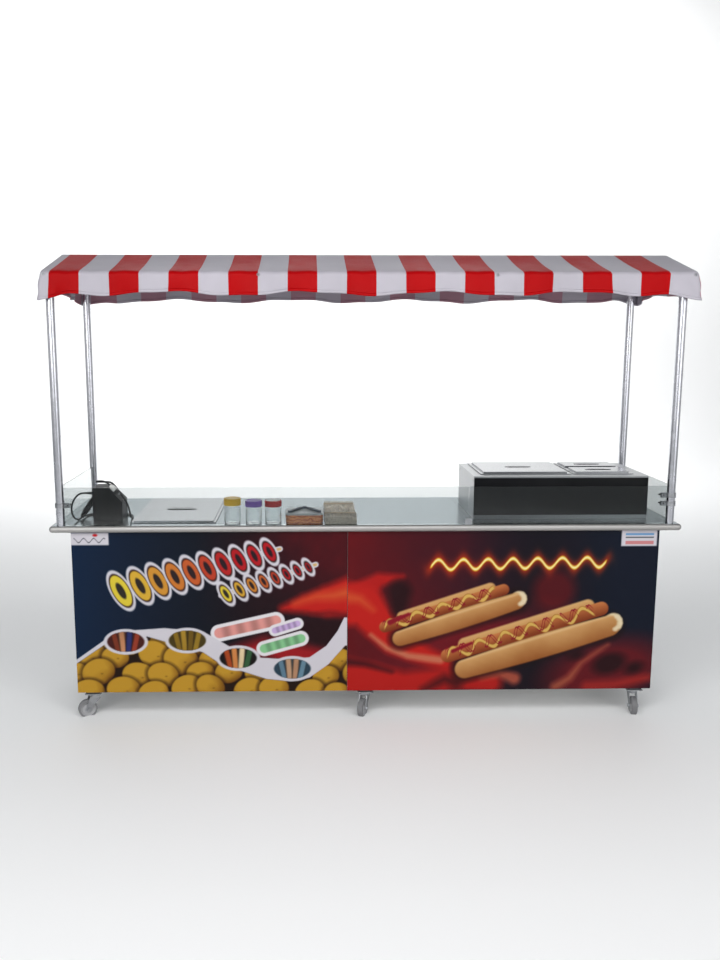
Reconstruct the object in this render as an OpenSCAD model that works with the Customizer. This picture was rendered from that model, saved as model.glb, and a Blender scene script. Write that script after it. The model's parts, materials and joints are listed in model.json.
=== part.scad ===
// Push vending cart: a wheeled stainless-topped cabinet with a striped gable canopy on four posts,
// glass guards, a countertop bain-marie, a drop-in fryer and the small things that stand on the top.
// Frame: X along the counter (+X to the customer's right), Y away from the customer, +Z up,
// origin on the floor under the middle of the worktop. Millimetres.

/* [Worktop] */
// Length of the worktop
worktop_w = 2640; // [2500:10:2800]
// Depth of the worktop
worktop_d = 660; // [640:5:680]
// Height of the worktop's top face above the floor
worktop_z = 860; // [840:5:900]
// Height of the rolled hem round the worktop
hem_h = 28; // [24:1:32]

/* [Cabinet] */
// How far the worktop stands out past the cabinet at each end
end_overhang = 85; // [70:5:100]
// How far the worktop stands out past the cabinet at front and back
front_overhang = 25; // [20:1:30]
// Height of the cabinet's lower edge above the floor
skirt_z = 128; // [126:1:134]
// Side of the square steel tube of the cabinet frame
tube = 25; // [20:1:30]
// X of the joint between the two printed panels
panel_joint_x = -81; // [-200:1:200]
// Height of the inner shelf
shelf_z = 450; // [380:10:520]

/* [Canopy] */
// Diameter of a canopy post
post_dia = 34; // [30:1:38]
// Inset of a post's centre from the worktop's end
post_inset_x = 45; // [40:1:55]
// Inset of a post's centre from the worktop's front and back edges
post_inset_y = 30; // [30:1:36]
// Height of the eave
eave_z = 1888; // [1860:2:1940]
// Rise of the gable from eave to ridge
gable_rise = 94; // [80:2:120]
// Length of the canopy cover
cover_w = 2616; // [2612:1:2630]
// Sideways offset of the canopy on its posts
cover_shift = 10; // [0:1:12]
// Depth of the canopy cover
cover_d = 690; // [680:2:720]
// Drop of the valance below the eave
valance_drop = 84; // [70:2:100]

/* [Guards] */
// Height of the glass guards above the worktop
guard_h = 160; // [120:5:220]
// Thickness of the guard glass
guard_t = 5; // [4:1:6]
// X of the joint between the two front sheets
guard_joint_x = 424; // [300:1:440]

/* [Casters] */
// Diameter of a caster wheel
wheel_dia = 80; // [76:1:82]
// Width of a caster wheel
wheel_w = 25; // [22:1:26]
// Trail of the wheel behind the swivel axis
caster_trail = 32; // [30:1:34]
// Distance of the end casters from the middle of the cabinet
caster_x = 1178; // [1120:2:1180]
// Distance of the casters' swivels from the middle of the cabinet's depth
caster_y = 250; // [220:5:255]

/* [Bain-marie] */
// Length of the bain-marie
bain_w = 750; // [740:5:780]
// Depth of the bain-marie
bain_d = 385; // [380:5:400]
// Height of the bain-marie
bain_h = 186; // [180:2:220]
// X of the bain-marie's left side
bain_x = 463; // [450:1:480]
// Y of the bain-marie's front
bain_y = -205; // [-215:1:-190]

/* [Fryer] */
// Length of the fryer lid along the counter
fryer_w = 360; // [355:1:366]
// Depth of the fryer lid
fryer_d = 545; // [530:5:550]
// Depth of the fryer tank below the worktop
tank_depth = 200; // [150:5:230]
// X of the middle of the fryer
fryer_x = -815; // [-820:1:-810]

/* [Jars] */
// Diameter of a sauce jar
jar_dia = 72; // [66:1:76]

/* [Hidden] */

$fn = 48;

// Gap left between welded or stacked neighbours that stay separate solids
weld_gap = 0.2;
// Reach of a cutting tool past the face it cuts
cut = 1;

// Sheet and tube thicknesses
tube_wall = 1.5;
sheet = 2;
thin_sheet = 1.5;
print_t = 3;
top_skin = 3;

// Cabinet limits
cabinet_w = worktop_w - 2 * end_overhang;
cabinet_d = worktop_d - 2 * front_overhang;
frame_x = cabinet_w / 2 - sheet;
frame_y = cabinet_d / 2 - print_t;
ring_top = skirt_z + tube;
hem_bottom = worktop_z - hem_h;
cross_w = 58;

// X of the tubes that cross the top ring: both sides of the fryer, then under the bain-marie
top_cross_x = [fryer_x - fryer_w / 2 - tube, fryer_x + fryer_w / 2, 200, 700];

// Doors and their tracks
track_h = 8;
track_d = 30;
track_rib = 2;
door_t = 12;
door_overlap = 8;
door_w = frame_x - tube + door_overlap / 2 - 1;
door_bottom = ring_top + 2.1;
door_top = hem_bottom - 3;
grip_w = 24;
door_outer_y = frame_y - track_rib - door_t;
door_inner_y = frame_y - 2 * track_rib - 2 * door_t;

// Posts and canopy
post_x = worktop_w / 2 - post_inset_x;
post_y = worktop_d / 2 - post_inset_y;
post_wall = 1.5;
spigot_h = 60;
rail_z = eave_z - 3 - tube;
rail_y = cover_d / 2 - 10;
rail_x = cover_w / 2 - 8;
cover_t = 4;
ridge_z = eave_z + gable_rise;
ridge_tube_z = ridge_z - 11 - tube;
cap_w = 36;
cap_d = 60;
cap_t = 3;
// The cover's corners hang lower than the valance between them
corner_drop = 26;
corner_l = 60;

// Guards
guard_y = -post_y - 7 - guard_t;
guard_half = post_x - 21;
guard_foot = 2;
guard_top = worktop_z + guard_h;
collar_r = 20;
collar_h = 20;
knob_x = 33;
stud_r = 3;
wing_r = 12;
// Height and end (-1 left, 1 right) of each wing knob
wing_places = [[945, -1], [945, 1], [980, 1]];

// Casters, numbered 1 to 3 along the front and 4 to 6 along the back
plate_top = skirt_z - 16;
plate_t = 4;
fork_top = plate_top - 8;
fork_bridge = 92;
fork_gap = wheel_w + 5;
fork_leg = 2.5;
kingpin_r = 6;
axle_r = 4;
wheel_bore_r = axle_r + 0.08;
fork_hole_r = kingpin_r + 0.05;
wheel_r = wheel_dia / 2;
// Direction in which each wheel trails, in degrees from +X
trail_angle = [205, 248, 262, 212, 242, 258];

// Bain-marie
bain_z = worktop_z;
deck_z = bain_z + bain_h;
gn_d = 330;
lid_y = bain_y + 45;
// X, Y, width and depth of each lid's footprint
lid_places = [
    [500, lid_y, 395, gn_d],
    [903, lid_y, 262, gn_d / 2 - 2],
    [903, lid_y + gn_d / 2 + 2, 262, gn_d / 2 - 2]
];
pan_depth = 140;
pan_inset = 14;
flange_t = 1.5;
lid_rise = 8;
dish_depth = 16;
well_floor = 20;

// Fryer
fryer_y = 8;
tank_inset = 22;
fryer_lid_rise = 6;
head_w = 124;
head_d = 110;
head_h = 142;
head_x = -1160;
head_y = -215;
head_cut = 60;

// Cord: out of the head's left side, into a coil that leans on it, then behind the head,
// up its right side and over the top to the plug
cord_r = 4;
relief_y = -180;
relief_z = 975;
relief_l = 30;
coil_r_out = 51;
coil_r_in = 35;
coil_t = 16;
coil_lean = 58;
coil_at = [-1194.3, -155, 908];
plug_y = -190;
// First stretch, from the strain relief down to the coil
route_out = [
    [-1190, -180, 975], [-1206, -180, 975], [-1223, -184, 971], [-1236, -193, 960],
    [-1244, -206, 945], [-1247, -220, 928], [-1246, -231, 910], [-1242, -234, 892],
    [-1236, -226, 876], [-1229, -211, 867], [-1223, -193, 865], [-1219, -176, 868],
    [-1217, -163, 871]
];
// Second stretch, from the coil round the back of the head and over it to the plug
route_over = [
    [-1217, -147, 871], [-1216, -130, 867], [-1212, -112, 864.5], [-1203, -94, 864],
    [-1190, -79, 864], [-1172, -68, 864], [-1150, -62, 864], [-1127, -60, 864],
    [-1104, -61, 864], [-1081, -65, 864], [-1059, -73, 864], [-1039, -86, 864],
    [-1022, -103, 864], [-1011, -124, 864], [-1006, -146, 864], [-1005, -167, 865],
    [-1005, -185, 870], [-1005, -199, 880], [-1006, -207, 896], [-1010, -207, 914],
    [-1018, -198, 931], [-1029, -184, 945], [-1042, -168, 957.5], [-1056, -153, 971.5],
    [-1071, -139, 986], [-1086, -129, 1001.5], [-1101, -123, 1011], [-1118, -122, 1013.5],
    [-1135, -127, 1014.5], [-1148, -139, 1016.5], [-1154, -156, 1019], [-1150, -173, 1023.5],
    [-1138, -185, 1027], [-1121, -190, 1027.5], [-1104, -191, 1022], [-1088.9, -190, 1010.1]
];

// Jars, left to right: X, total height, lid height, lid colour
jar_y = -268;
jars = [[-564, 108, 30, "gold"], [-475, 98, 26, "mediumpurple"], [-393, 98, 26, "firebrick"]];

// Small goods
tray_x = -262;
tray_w = 132;
tray_y = -300;
tray_d = 150;
tray_h = 45;
pack_x = -109;
pack_w = 138;
pack_y = -300;
pack_d = 370;
pack_h = 34;

// ---------------------------------------------------------------- helpers

// Box tube, open along its longest side
module box_tube(size) {
    long = max(size);
    difference() {
        cube(size);
        translate([for (s = size) s == long ? -cut : tube_wall])
            cube([for (s = size) s == long ? s + 2 * cut : s - 2 * tube_wall]);
    }
}

// Box between two corners
module box(low, high) {
    translate(low)
        cube(high - low);
}

// Flat ring or disc standing on z = 0
module ring(outer_r, inner_r, height) {
    difference() {
        cylinder(r = outer_r, h = height);
        translate([0, 0, -cut])
            cylinder(r = inner_r, h = height + 2 * cut);
    }
}

// Slot-shaped block centred on the origin, its length along X
module slot_block(length, width, height) {
    translate([-(length - width) / 2, -width / 2, 0])
        cube([length - width, width, height]);
    for (side = [-1, 1])
        translate([side * (length - width) / 2, 0, 0])
            cylinder(d = width, h = height);
}

// Open box of sheet with a flange round its rim; the flange's underside is at z = 0
module flanged_box(width, depth, height, inset, wall) {
    difference() {
        union() {
            cube([width, depth, wall]);
            translate([inset, inset, -height])
                cube([width - 2 * inset, depth - 2 * inset, height + wall]);
        }
        translate([inset + wall, inset + wall, wall - height])
            cube([width - 2 * (inset + wall), depth - 2 * (inset + wall), height + cut]);
    }
}

// Pressed lid standing on z = 0, hollow below, with a sunk dish and a flat grip bar across it
module pressed_lid(width, depth, rise, step, dish_l, dish_w) {
    middle = [width / 2, depth / 2, rise - dish_depth];
    bar_w = 14;
    difference() {
        union() {
            cube([width, depth, flange_t]);
            translate([step, step, 0])
                cube([width - 2 * step, depth - 2 * step, rise]);
            translate(middle)
                slot_block(dish_l + 2 * flange_t, dish_w + 2 * flange_t, dish_depth);
        }
        difference() {
            translate([step + flange_t, step + flange_t, -cut])
                cube([width - 2 * (step + flange_t), depth - 2 * (step + flange_t),
                      rise - flange_t + cut]);
            translate(middle)
                slot_block(dish_l + 2 * flange_t, dish_w + 2 * flange_t, dish_depth);
        }
        translate([middle.x, middle.y, middle.z + flange_t])
            slot_block(dish_l, dish_w, dish_depth);
    }
    translate([middle.x - dish_l / 2 - flange_t, middle.y - bar_w / 2, rise - 1])
        cube([dish_l + 2 * flange_t, bar_w, 3]);
}

// Round tube swept along a list of points
module swept_tube(points, radius, sides) {
    count = len(points);
    function along(i) =
        let (a = points[max(i - 1, 0)], b = points[min(i + 1, count - 1)])
        (b - a) / norm(b - a);
    function across(i) =
        let (t = along(i), helper = abs(t.z) > 0.8 ? [0, 1, 0] : [0, 0, 1], s = cross(t, helper))
        s / norm(s);
    // the section's frame is carried from ring to ring so that the tube doesn't twist
    function carried(i) =
        i == 0 ? across(0)
        : let (p = carried(i - 1), t = along(i), q = p - t * (p * t)) q / norm(q);
    verts = [
        for (i = [0:count - 1])
            let (u = carried(i), v = cross(along(i), u))
            for (k = [0:sides - 1])
                points[i] + radius * (cos(360 * k / sides) * u + sin(360 * k / sides) * v)
    ];
    walls = [
        for (i = [0:count - 2])
            for (k = [0:sides - 1])
                let (n = (k + 1) % sides)
                [i * sides + k, i * sides + n, (i + 1) * sides + n, (i + 1) * sides + k]
    ];
    caps = [
        [for (k = [sides - 1:-1:0]) k],
        [for (k = [0:sides - 1]) (count - 1) * sides + k]
    ];
    polyhedron(verts, concat(walls, caps), convexity = 10);
}

// ---------------------------------------------------------------- cabinet

// Welded ring under the cabinet, its three caster cross-members and the caster pads
module base_frame() {
    inner_y = frame_y - tube - weld_gap;
    color("dimgray") {
        for (y = [-frame_y, frame_y - tube])
            translate([-frame_x, y, skirt_z])
                box_tube([2 * frame_x, tube, tube]);
        for (x = [-frame_x, frame_x - tube])
            translate([x, -inner_y, skirt_z])
                box_tube([tube, 2 * inner_y, tube]);
        for (x = [-caster_x, 0, caster_x]) {
            translate([x - cross_w / 2, -inner_y, skirt_z])
                box_tube([cross_w, 2 * inner_y, tube]);
            for (y = [-caster_y, caster_y])
                translate([x - cross_w / 2, y - cross_w / 2, plate_top + weld_gap])
                    cube([cross_w, cross_w, skirt_z - plate_top - 2 * weld_gap]);
        }
    }
}

module uprights() {
    top = hem_bottom - weld_gap;
    color("dimgray")
        for (place = [[-frame_x, -frame_y], [frame_x - tube, -frame_y],
                      [panel_joint_x - tube / 2, -frame_y],
                      [-frame_x, frame_y - tube], [frame_x - tube, frame_y - tube]])
            translate([place.x, place.y, ring_top + weld_gap])
                box_tube([tube, tube, top - ring_top - weld_gap]);
}

// Ring and cross tubes that carry the worktop from inside its hem
module top_frame() {
    inner_y = frame_y - tube - weld_gap;
    height = hem_h - top_skin - weld_gap;
    color("dimgray") {
        for (y = [-frame_y, frame_y - tube])
            translate([-frame_x, y, hem_bottom])
                box_tube([2 * frame_x, tube, height]);
        for (x = concat([-frame_x, frame_x - tube], top_cross_x))
            translate([x, -inner_y, hem_bottom])
                box_tube([tube, 2 * inner_y, height]);
    }
}

module sheet_with_notches(z) {
    difference() {
        box([-frame_x + 1, -frame_y + 1, z], [frame_x - 1, frame_y - track_d - 1, z + sheet]);
        for (x = [-frame_x, frame_x - tube, panel_joint_x - tube / 2])
            translate([x - weld_gap, -frame_y - weld_gap, z - cut])
                cube([tube + 2 * weld_gap, tube + 2 * weld_gap, sheet + 2 * cut]);
    }
}

module floor_panel() {
    color("gainsboro")
        sheet_with_notches(ring_top);
}

// Inner shelf with a turned-down front lip
module shelf() {
    lip = 25;
    color("gainsboro") {
        sheet_with_notches(shelf_z);
        for (y = [-frame_y + tube + 1, frame_y - track_d - 1 - sheet])
            box([-frame_x + tube + 1, y, shelf_z - lip], [frame_x - tube - 1, y + sheet, shelf_z]);
    }
}

module side_panel(side) {
    x = side > 0 ? frame_x : -frame_x - sheet;
    color("silver")
        box([x, -frame_y, skirt_z], [x + sheet, frame_y, hem_bottom - 1]);
}

// Printed front panel between two X values
module print_panel(x0, x1) {
    color([0.35, 0.05, 0.08])
        box([x0, -cabinet_d / 2, skirt_z], [x1, -frame_y, hem_bottom - 1]);
}

// Sheet steel sliding door: a tray open to the inside, and a finger channel down its end edge
module door(x, y, side) {
    edge = side > 0 ? x + door_w : x;
    tray_x0 = side > 0 ? x : x + grip_w;
    tray_x1 = side > 0 ? x + door_w - grip_w : x + door_w;
    color("gainsboro") {
        difference() {
            box([tray_x0, y, door_bottom], [tray_x1, y + door_t, door_top]);
            box([tray_x0 + thin_sheet, y - cut, door_bottom + thin_sheet],
                [tray_x1 - thin_sheet, y + door_t - thin_sheet, door_top - thin_sheet]);
        }
        translate([edge - (side > 0 ? sheet : 0), y, door_bottom])
            cube([sheet, door_t, door_top - door_bottom]);
        translate([side > 0 ? edge - grip_w + weld_gap : edge + sheet + weld_gap, y + 1, door_bottom])
            cube([grip_w - sheet - 2 * weld_gap, sheet, door_top - door_bottom]);
    }
}

// Lower and upper channel, each with two grooves for the sliding doors
module door_tracks() {
    half = frame_x - tube - 1;
    groove = door_t + 0.6;
    color("silver")
        for (low = [ring_top + weld_gap, hem_bottom - track_h - weld_gap])
            difference() {
                box([-half, frame_y - track_d, low], [half, frame_y, low + track_h]);
                for (y = [door_outer_y - 0.3, door_inner_y - 0.3])
                    box([-half - cut, y, low < shelf_z ? low + 1.6 : low - cut],
                        [half + cut, y + groove, low < shelf_z ? low + track_h + cut : low + 6.4]);
            }
}

// ---------------------------------------------------------------- worktop

// Sheet top with a rolled hem all round, hollow below and cut out for the fryer tank
module worktop() {
    r = hem_h / 2;
    half_x = worktop_w / 2 - r;
    half_y = worktop_d / 2 - r;
    color("lightgray")
        difference() {
            union() {
                box([-half_x, -half_y, hem_bottom], [half_x, half_y, worktop_z]);
                for (y = [-half_y, half_y])
                    translate([-half_x, y, hem_bottom + r])
                        rotate([0, 90, 0])
                            cylinder(r = r, h = 2 * half_x);
                for (x = [-half_x, half_x])
                    translate([x, half_y, hem_bottom + r])
                        rotate([90, 0, 0])
                            cylinder(r = r, h = 2 * half_y);
                for (x = [-half_x, half_x])
                    for (y = [-half_y, half_y])
                        translate([x, y, hem_bottom + r])
                            sphere(r = r);
            }
            box([-half_x + r, -half_y + r, hem_bottom - cut],
                [half_x - r, half_y - r, worktop_z - top_skin]);
            box([fryer_x - fryer_w / 2 + tank_inset - 2, fryer_y - fryer_d / 2 + tank_inset - 2, hem_bottom],
                [fryer_x + fryer_w / 2 - tank_inset + 2, fryer_y + fryer_d / 2 - tank_inset + 2,
                 worktop_z + cut]);
        }
}

// ---------------------------------------------------------------- canopy

module at_posts() {
    for (x = [-post_x, post_x])
        for (y = [-post_y, post_y])
            translate([x, y, 0])
                children();
}

module posts() {
    color("silver")
        at_posts()
            translate([0, 0, worktop_z])
                ring(post_dia / 2, post_dia / 2 - post_wall, rail_z - cap_t - worktop_z);
}

// Stubs on the worktop over which the posts slip
module post_spigots() {
    color("gray")
        at_posts()
            translate([0, 0, worktop_z])
                cylinder(r = post_dia / 2 - post_wall - 0.1, h = spigot_h);
}

// Rails round the eave, end and middle ties, king posts and ridge, on four cap plates
module canopy_frame() {
    inner_y = rail_y - tube - weld_gap;
    color("darkgray") {
        for (y = [-rail_y, rail_y - tube])
            translate([cover_shift - rail_x, y, rail_z])
                box_tube([2 * rail_x, tube, tube]);
        for (x = [-rail_x, -tube / 2, rail_x - tube]) {
            translate([cover_shift + x, -inner_y, rail_z])
                box_tube([tube, 2 * inner_y, tube]);
            translate([cover_shift + x, -tube / 2, rail_z + tube + weld_gap])
                box_tube([tube, tube, ridge_tube_z - rail_z - tube - 2 * weld_gap]);
        }
        translate([cover_shift - rail_x, -tube / 2, ridge_tube_z])
            box_tube([2 * rail_x, tube, tube]);
        for (x = [-post_x, post_x])
            for (y = [-1, 1])
                translate([x - cap_w / 2, y * (rail_y - cap_d / 2) - cap_d / 2, rail_z - cap_t])
                    cube([cap_w, cap_d, cap_t - weld_gap]);
    }
}

// Gable section of the cover, as far in as `inset`, down to the lowest corner
module gable_section(inset, drop) {
    half = cover_d / 2 - inset;
    low = eave_z - valance_drop - corner_drop - drop;
    polygon([[-half, low], [-half, eave_z - inset], [0, ridge_z - inset],
             [half, eave_z - inset], [half, low]]);
}

// Fabric cover: two slopes, the gable ends and a valance all round that hangs lower at its corners
module canopy_cover() {
    low = eave_z - valance_drop - corner_drop;
    half_x = cover_w / 2;
    half_y = cover_d / 2;
    color("crimson")
        translate([cover_shift, 0, 0])
            difference() {
                translate([-half_x, 0, 0])
                    rotate([90, 0, 90])
                        linear_extrude(cover_w)
                            gable_section(0, 0);
                translate([cover_t - half_x, 0, 0])
                    rotate([90, 0, 90])
                        linear_extrude(cover_w - 2 * cover_t)
                            gable_section(cover_t, cut);
                box([corner_l - half_x, -half_y - cut, low - cut],
                    [half_x - corner_l, half_y + cut, low + corner_drop]);
                box([-half_x - cut, corner_l - half_y, low - cut],
                    [half_x + cut, half_y - corner_l, low + corner_drop]);
            }
}

// ---------------------------------------------------------------- guards

module glass_front() {
    low = worktop_z + guard_foot;
    color([0.75, 0.85, 0.85, 0.5]) {
        box([-guard_half, guard_y, low], [guard_joint_x - 1, guard_y + guard_t, guard_top]);
        box([guard_joint_x + 1, guard_y, low], [guard_half, guard_y + guard_t, guard_top]);
    }
}

module glass_sides() {
    low = worktop_z + guard_foot;
    half_y = post_y - collar_r - 2;
    color([0.75, 0.8, 0.82, 0.5])
        for (x = [-post_x, post_x])
            box([x - guard_t / 2, -half_y, low], [x + guard_t / 2, half_y, guard_top]);
}

// Post collar whose ear stands behind the front glass and takes a knob's stud
module glass_collar(side) {
    ear_l = knob_x + 9;
    difference() {
        union() {
            cylinder(r = collar_r, h = collar_h);
            box([side > 0 ? -ear_l : 0, -6.5, 0], [side > 0 ? 0 : ear_l, 5.5, collar_h]);
        }
        translate([0, 0, -cut])
            cylinder(r = post_dia / 2 + 0.05, h = collar_h + 2 * cut);
        translate([-side * knob_x, 10, collar_h / 2])
            rotate([90, 0, 0])
                cylinder(r = stud_r + 0.05, h = 20);
    }
}

// Collars on the front posts and the foot clamp at the joint of the front sheets
module glass_fittings() {
    clamp_w = 30;
    clamp_h = 24;
    lip = 5;
    color("lightslategray") {
        for (place = wing_places)
            translate([place[1] * post_x, -post_y, place[0] - collar_h / 2])
                glass_collar(place[1]);
        difference() {
            box([guard_joint_x - clamp_w / 2, guard_y - lip, worktop_z],
                [guard_joint_x + clamp_w / 2, guard_y + guard_t + lip, worktop_z + clamp_h]);
            box([guard_joint_x - clamp_w, guard_y - 0.1, worktop_z + guard_foot - 0.1],
                [guard_joint_x + clamp_w, guard_y + guard_t + 0.1, worktop_z + clamp_h + cut]);
        }
    }
}

// Two-winged clamp knob on a stud through the collar's ear
module wing_knob(index) {
    place = wing_places[index];
    hub_l = 12;
    color("black")
        translate([place[1] * (post_x - knob_x), -post_y + 5.8, place[0]])
            rotate([-90, 0, 0]) {
                cylinder(r = 7, h = hub_l);
                translate([-wing_r, -2.5, 3])
                    cube([2 * wing_r, 5, hub_l]);
                translate([0, 0, -12])
                    cylinder(r = stud_r, h = 13);
            }
}

// ---------------------------------------------------------------- casters

function caster_at(i) = [[-caster_x, 0, caster_x][i % 3], i < 3 ? -caster_y : caster_y, 0];

module caster_plates() {
    color("silver")
        for (i = [0:5])
            translate(caster_at(i)) {
                translate([-cross_w / 2 - 5, -cross_w / 2 - 5, plate_top - plate_t])
                    cube([cross_w + 10, cross_w + 10, plate_t]);
                translate([0, 0, fork_top + 0.3])
                    cylinder(r = 20, h = plate_top - plate_t - fork_top);
                translate([0, 0, fork_bridge - 5])
                    cylinder(r = kingpin_r, h = plate_top - fork_bridge);
                translate([0, 0, fork_bridge - 6])
                    cylinder(r = 10, h = 5.6, $fn = 6);
            }
}

// Pressed fork, seen from the side, with its foot round the axle
module fork_leg_outline() {
    polygon([[-20, fork_bridge + 3], [22, fork_bridge + 3], [caster_trail + 11, wheel_r + 6],
             [caster_trail + 11, wheel_r], [caster_trail - 9, wheel_r], [-20, fork_bridge - 8]]);
    translate([caster_trail, wheel_r])
        circle(r = 11);
}

// Swivel fork with its axle bolt, turned to its rest direction
module caster_fork(i) {
    half = fork_gap / 2;
    color("silver")
        translate(caster_at(i))
            rotate([0, 0, trail_angle[i]]) {
                difference() {
                    union() {
                        for (y = [-half - fork_leg, half])
                            translate([0, y + fork_leg, 0])
                                rotate([90, 0, 0])
                                    linear_extrude(fork_leg)
                                        fork_leg_outline();
                        box([-20, -half, fork_bridge], [22, half, fork_bridge + 3]);
                        translate([0, 0, fork_bridge + 3])
                            cylinder(r = 22, h = fork_top - fork_bridge - 3);
                    }
                    translate([0, 0, fork_bridge - cut])
                        cylinder(r = fork_hole_r, h = fork_top - fork_bridge + 2 * cut);
                    translate([caster_trail, half + fork_leg + cut, wheel_r])
                        rotate([90, 0, 0])
                            cylinder(r = axle_r + 0.05, h = fork_gap + 2 * fork_leg + 2 * cut);
                }
                translate([caster_trail, half + fork_leg + 0.1, wheel_r])
                    rotate([-90, 0, 0]) {
                        cylinder(r = 7.5, h = 5, $fn = 6);
                        translate([0, 0, -fork_gap - 2 * fork_leg - 0.2])
                            cylinder(r = axle_r, h = fork_gap + 2 * fork_leg + 1);
                        translate([0, 0, -fork_gap - 2 * fork_leg - 5.2])
                            cylinder(r = 7.5, h = 5, $fn = 6);
                    }
            }
}

// Wheel with a crowned tread, a recessed web and a bored hub
module caster_wheel(i) {
    half = wheel_w / 2;
    color("gray")
        translate(caster_at(i))
            rotate([0, 0, trail_angle[i]])
                translate([caster_trail, 0, wheel_r])
                    rotate([90, 0, 0])
                        rotate_extrude()
                            polygon([[wheel_bore_r, -half - 1], [11, -half - 1], [13, -half + 4],
                                     [26, -half + 4], [29, -half], [wheel_r - 4, -half],
                                     [wheel_r - 1, -half + 3], [wheel_r, -half + 8],
                                     [wheel_r, half - 8], [wheel_r - 1, half - 3],
                                     [wheel_r - 4, half], [29, half], [26, half - 4],
                                     [13, half - 4], [11, half + 1], [wheel_bore_r, half + 1]]);
}

// ---------------------------------------------------------------- bain-marie

// Box with a closed floor, a deck that has one opening per pan, and a cable gland at the back
module bain_housing() {
    color("silver")
        difference() {
            box([bain_x, bain_y, bain_z + 0.3], [bain_x + bain_w, bain_y + bain_d, deck_z]);
            box([bain_x + sheet, bain_y + sheet, bain_z + sheet],
                [bain_x + bain_w - sheet, bain_y + bain_d - sheet, deck_z - sheet]);
            for (lid = lid_places)
                box([lid[0] + pan_inset - 1, lid[1] + pan_inset - 1, deck_z - sheet - cut],
                    [lid[0] + lid[2] - pan_inset + 1, lid[1] + lid[3] - pan_inset + 1,
                     deck_z + cut]);
            translate([bain_x + bain_w - 100, bain_y + bain_d + cut, bain_z + 45])
                rotate([90, 0, 0])
                    cylinder(r = 4.1, h = sheet + 2 * cut);
        }
    color("black")
        translate([bain_x + 60, bain_y + bain_d + weld_gap, bain_z + 40])
            rotate([-90, 0, 0])
                ring(10, 4, 12);
}

// Black panel over the upper part of the front
module bain_front() {
    color("black")
        box([bain_x + 1, bain_y - 3, bain_z + 18], [bain_x + bain_w - 1, bain_y, deck_z - 1]);
}

// Water tank under the pans
module bain_well() {
    last = lid_places[2];
    low = [lid_places[0][0] + 4, lid_y + 4, bain_z + well_floor];
    high = [last[0] + last[2] - 4, last[1] + last[3] - 4, deck_z - sheet - weld_gap];
    color("lightgray")
        difference() {
            box(low, high);
            box(low + [thin_sheet, thin_sheet, thin_sheet],
                high + [-thin_sheet, -thin_sheet, cut]);
        }
}

module bain_pan(index) {
    place = lid_places[index];
    color("lightgray")
        translate([place[0] + 3, place[1] + 3, deck_z + 0.3])
            flanged_box(place[2] - 6, place[3] - 6, pan_depth, pan_inset - 2, flange_t);
}

module bain_lid(index) {
    place = lid_places[index];
    color("whitesmoke")
        translate([place[0], place[1], deck_z + flange_t + 0.6])
            pressed_lid(place[2], place[3], lid_rise, 16, 110, 48);
}

// Thermostat knob on the operator's side, its spindle through the housing
module bain_knob() {
    color("black")
        translate([bain_x + bain_w - 100, bain_y + bain_d + 0.5, bain_z + 45])
            rotate([-90, 0, 0]) {
                cylinder(r = 20, h = 6);
                translate([0, 0, 5])
                    cylinder(r = 15, h = 14);
                translate([-2.5, -17, 12])
                    cube([5, 17, 9]);
                translate([0, 0, -12])
                    cylinder(r = 4, h = 13);
            }
}

// Heating rod lying on the well's floor, bent into a long loop
module bain_heater() {
    rod_r = 4;
    x0 = lid_places[0][0] + 80;
    x1 = lid_places[1][0] + 200;
    y_mid = lid_y + gn_d / 2;
    gap = 60;
    z = bain_z + well_floor + thin_sheet + rod_r + 0.3;
    color("dimgray") {
        for (y = [-gap, gap])
            translate([x0, y_mid + y, z])
                rotate([0, 90, 0])
                    cylinder(r = rod_r, h = x1 - x0);
        translate([x0, y_mid, z])
            rotate([0, 0, 90])
                rotate_extrude(angle = 180)
                    translate([gap, 0])
                        circle(r = rod_r);
    }
}

// ---------------------------------------------------------------- fryer

module fryer_tank() {
    color("silver")
        translate([fryer_x - fryer_w / 2 + 5, fryer_y - fryer_d / 2 + 5, worktop_z + 0.2])
            flanged_box(fryer_w - 10, fryer_d - 10, tank_depth, tank_inset - 5, flange_t);
}

module fryer_lid() {
    color("whitesmoke")
        translate([fryer_x - fryer_w / 2, fryer_y - fryer_d / 2, worktop_z + flange_t + 0.5])
            pressed_lid(fryer_w, fryer_d, fryer_lid_rise, 12, 130, 52);
}

// Control head of the fryer: a box with its right shoulder cut off
module fryer_head() {
    color([0.08, 0.08, 0.09])
        difference() {
            translate([head_x, head_y + head_d, worktop_z])
                rotate([90, 0, 0])
                    linear_extrude(head_d)
                        polygon([[0, 0], [head_w, 0], [head_w, head_h - head_cut],
                                 [head_w - head_cut, head_h], [0, head_h]]);
            translate([head_x - cut, relief_y, relief_z])
                rotate([0, 90, 0])
                    cylinder(r = 5, h = 12);
            translate([head_x + head_w / 2, head_y + head_d - 10, worktop_z + 60])
                rotate([-90, 0, 0])
                    cylinder(r = 4.1, h = 10 + cut);
        }
}

// Thermostat knob on the back of the control head
module fryer_knob() {
    color("dimgray")
        translate([head_x + head_w / 2, head_y + head_d + 0.5, worktop_z + 60])
            rotate([-90, 0, 0]) {
                cylinder(r = 18, h = 5);
                translate([0, 0, 4])
                    cylinder(r = 14, h = 10);
                translate([-2, -15, 9])
                    cube([4, 15, 8]);
                translate([0, 0, -9])
                    cylinder(r = 4, h = 10);
            }
}

module mains_cord() {
    color("black") {
        swept_tube(route_out, cord_r, 8);
        swept_tube(route_over, cord_r, 8);
    }
}

// Outer shape of the wound turns, leaning on the head's left side
module cord_coil() {
    color("black")
        translate(coil_at)
            rotate([0, -coil_lean, 0])
                rotate_extrude()
                    translate([coil_r_in, -coil_t / 2])
                        square([coil_r_out - coil_r_in, coil_t]);
}

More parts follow.
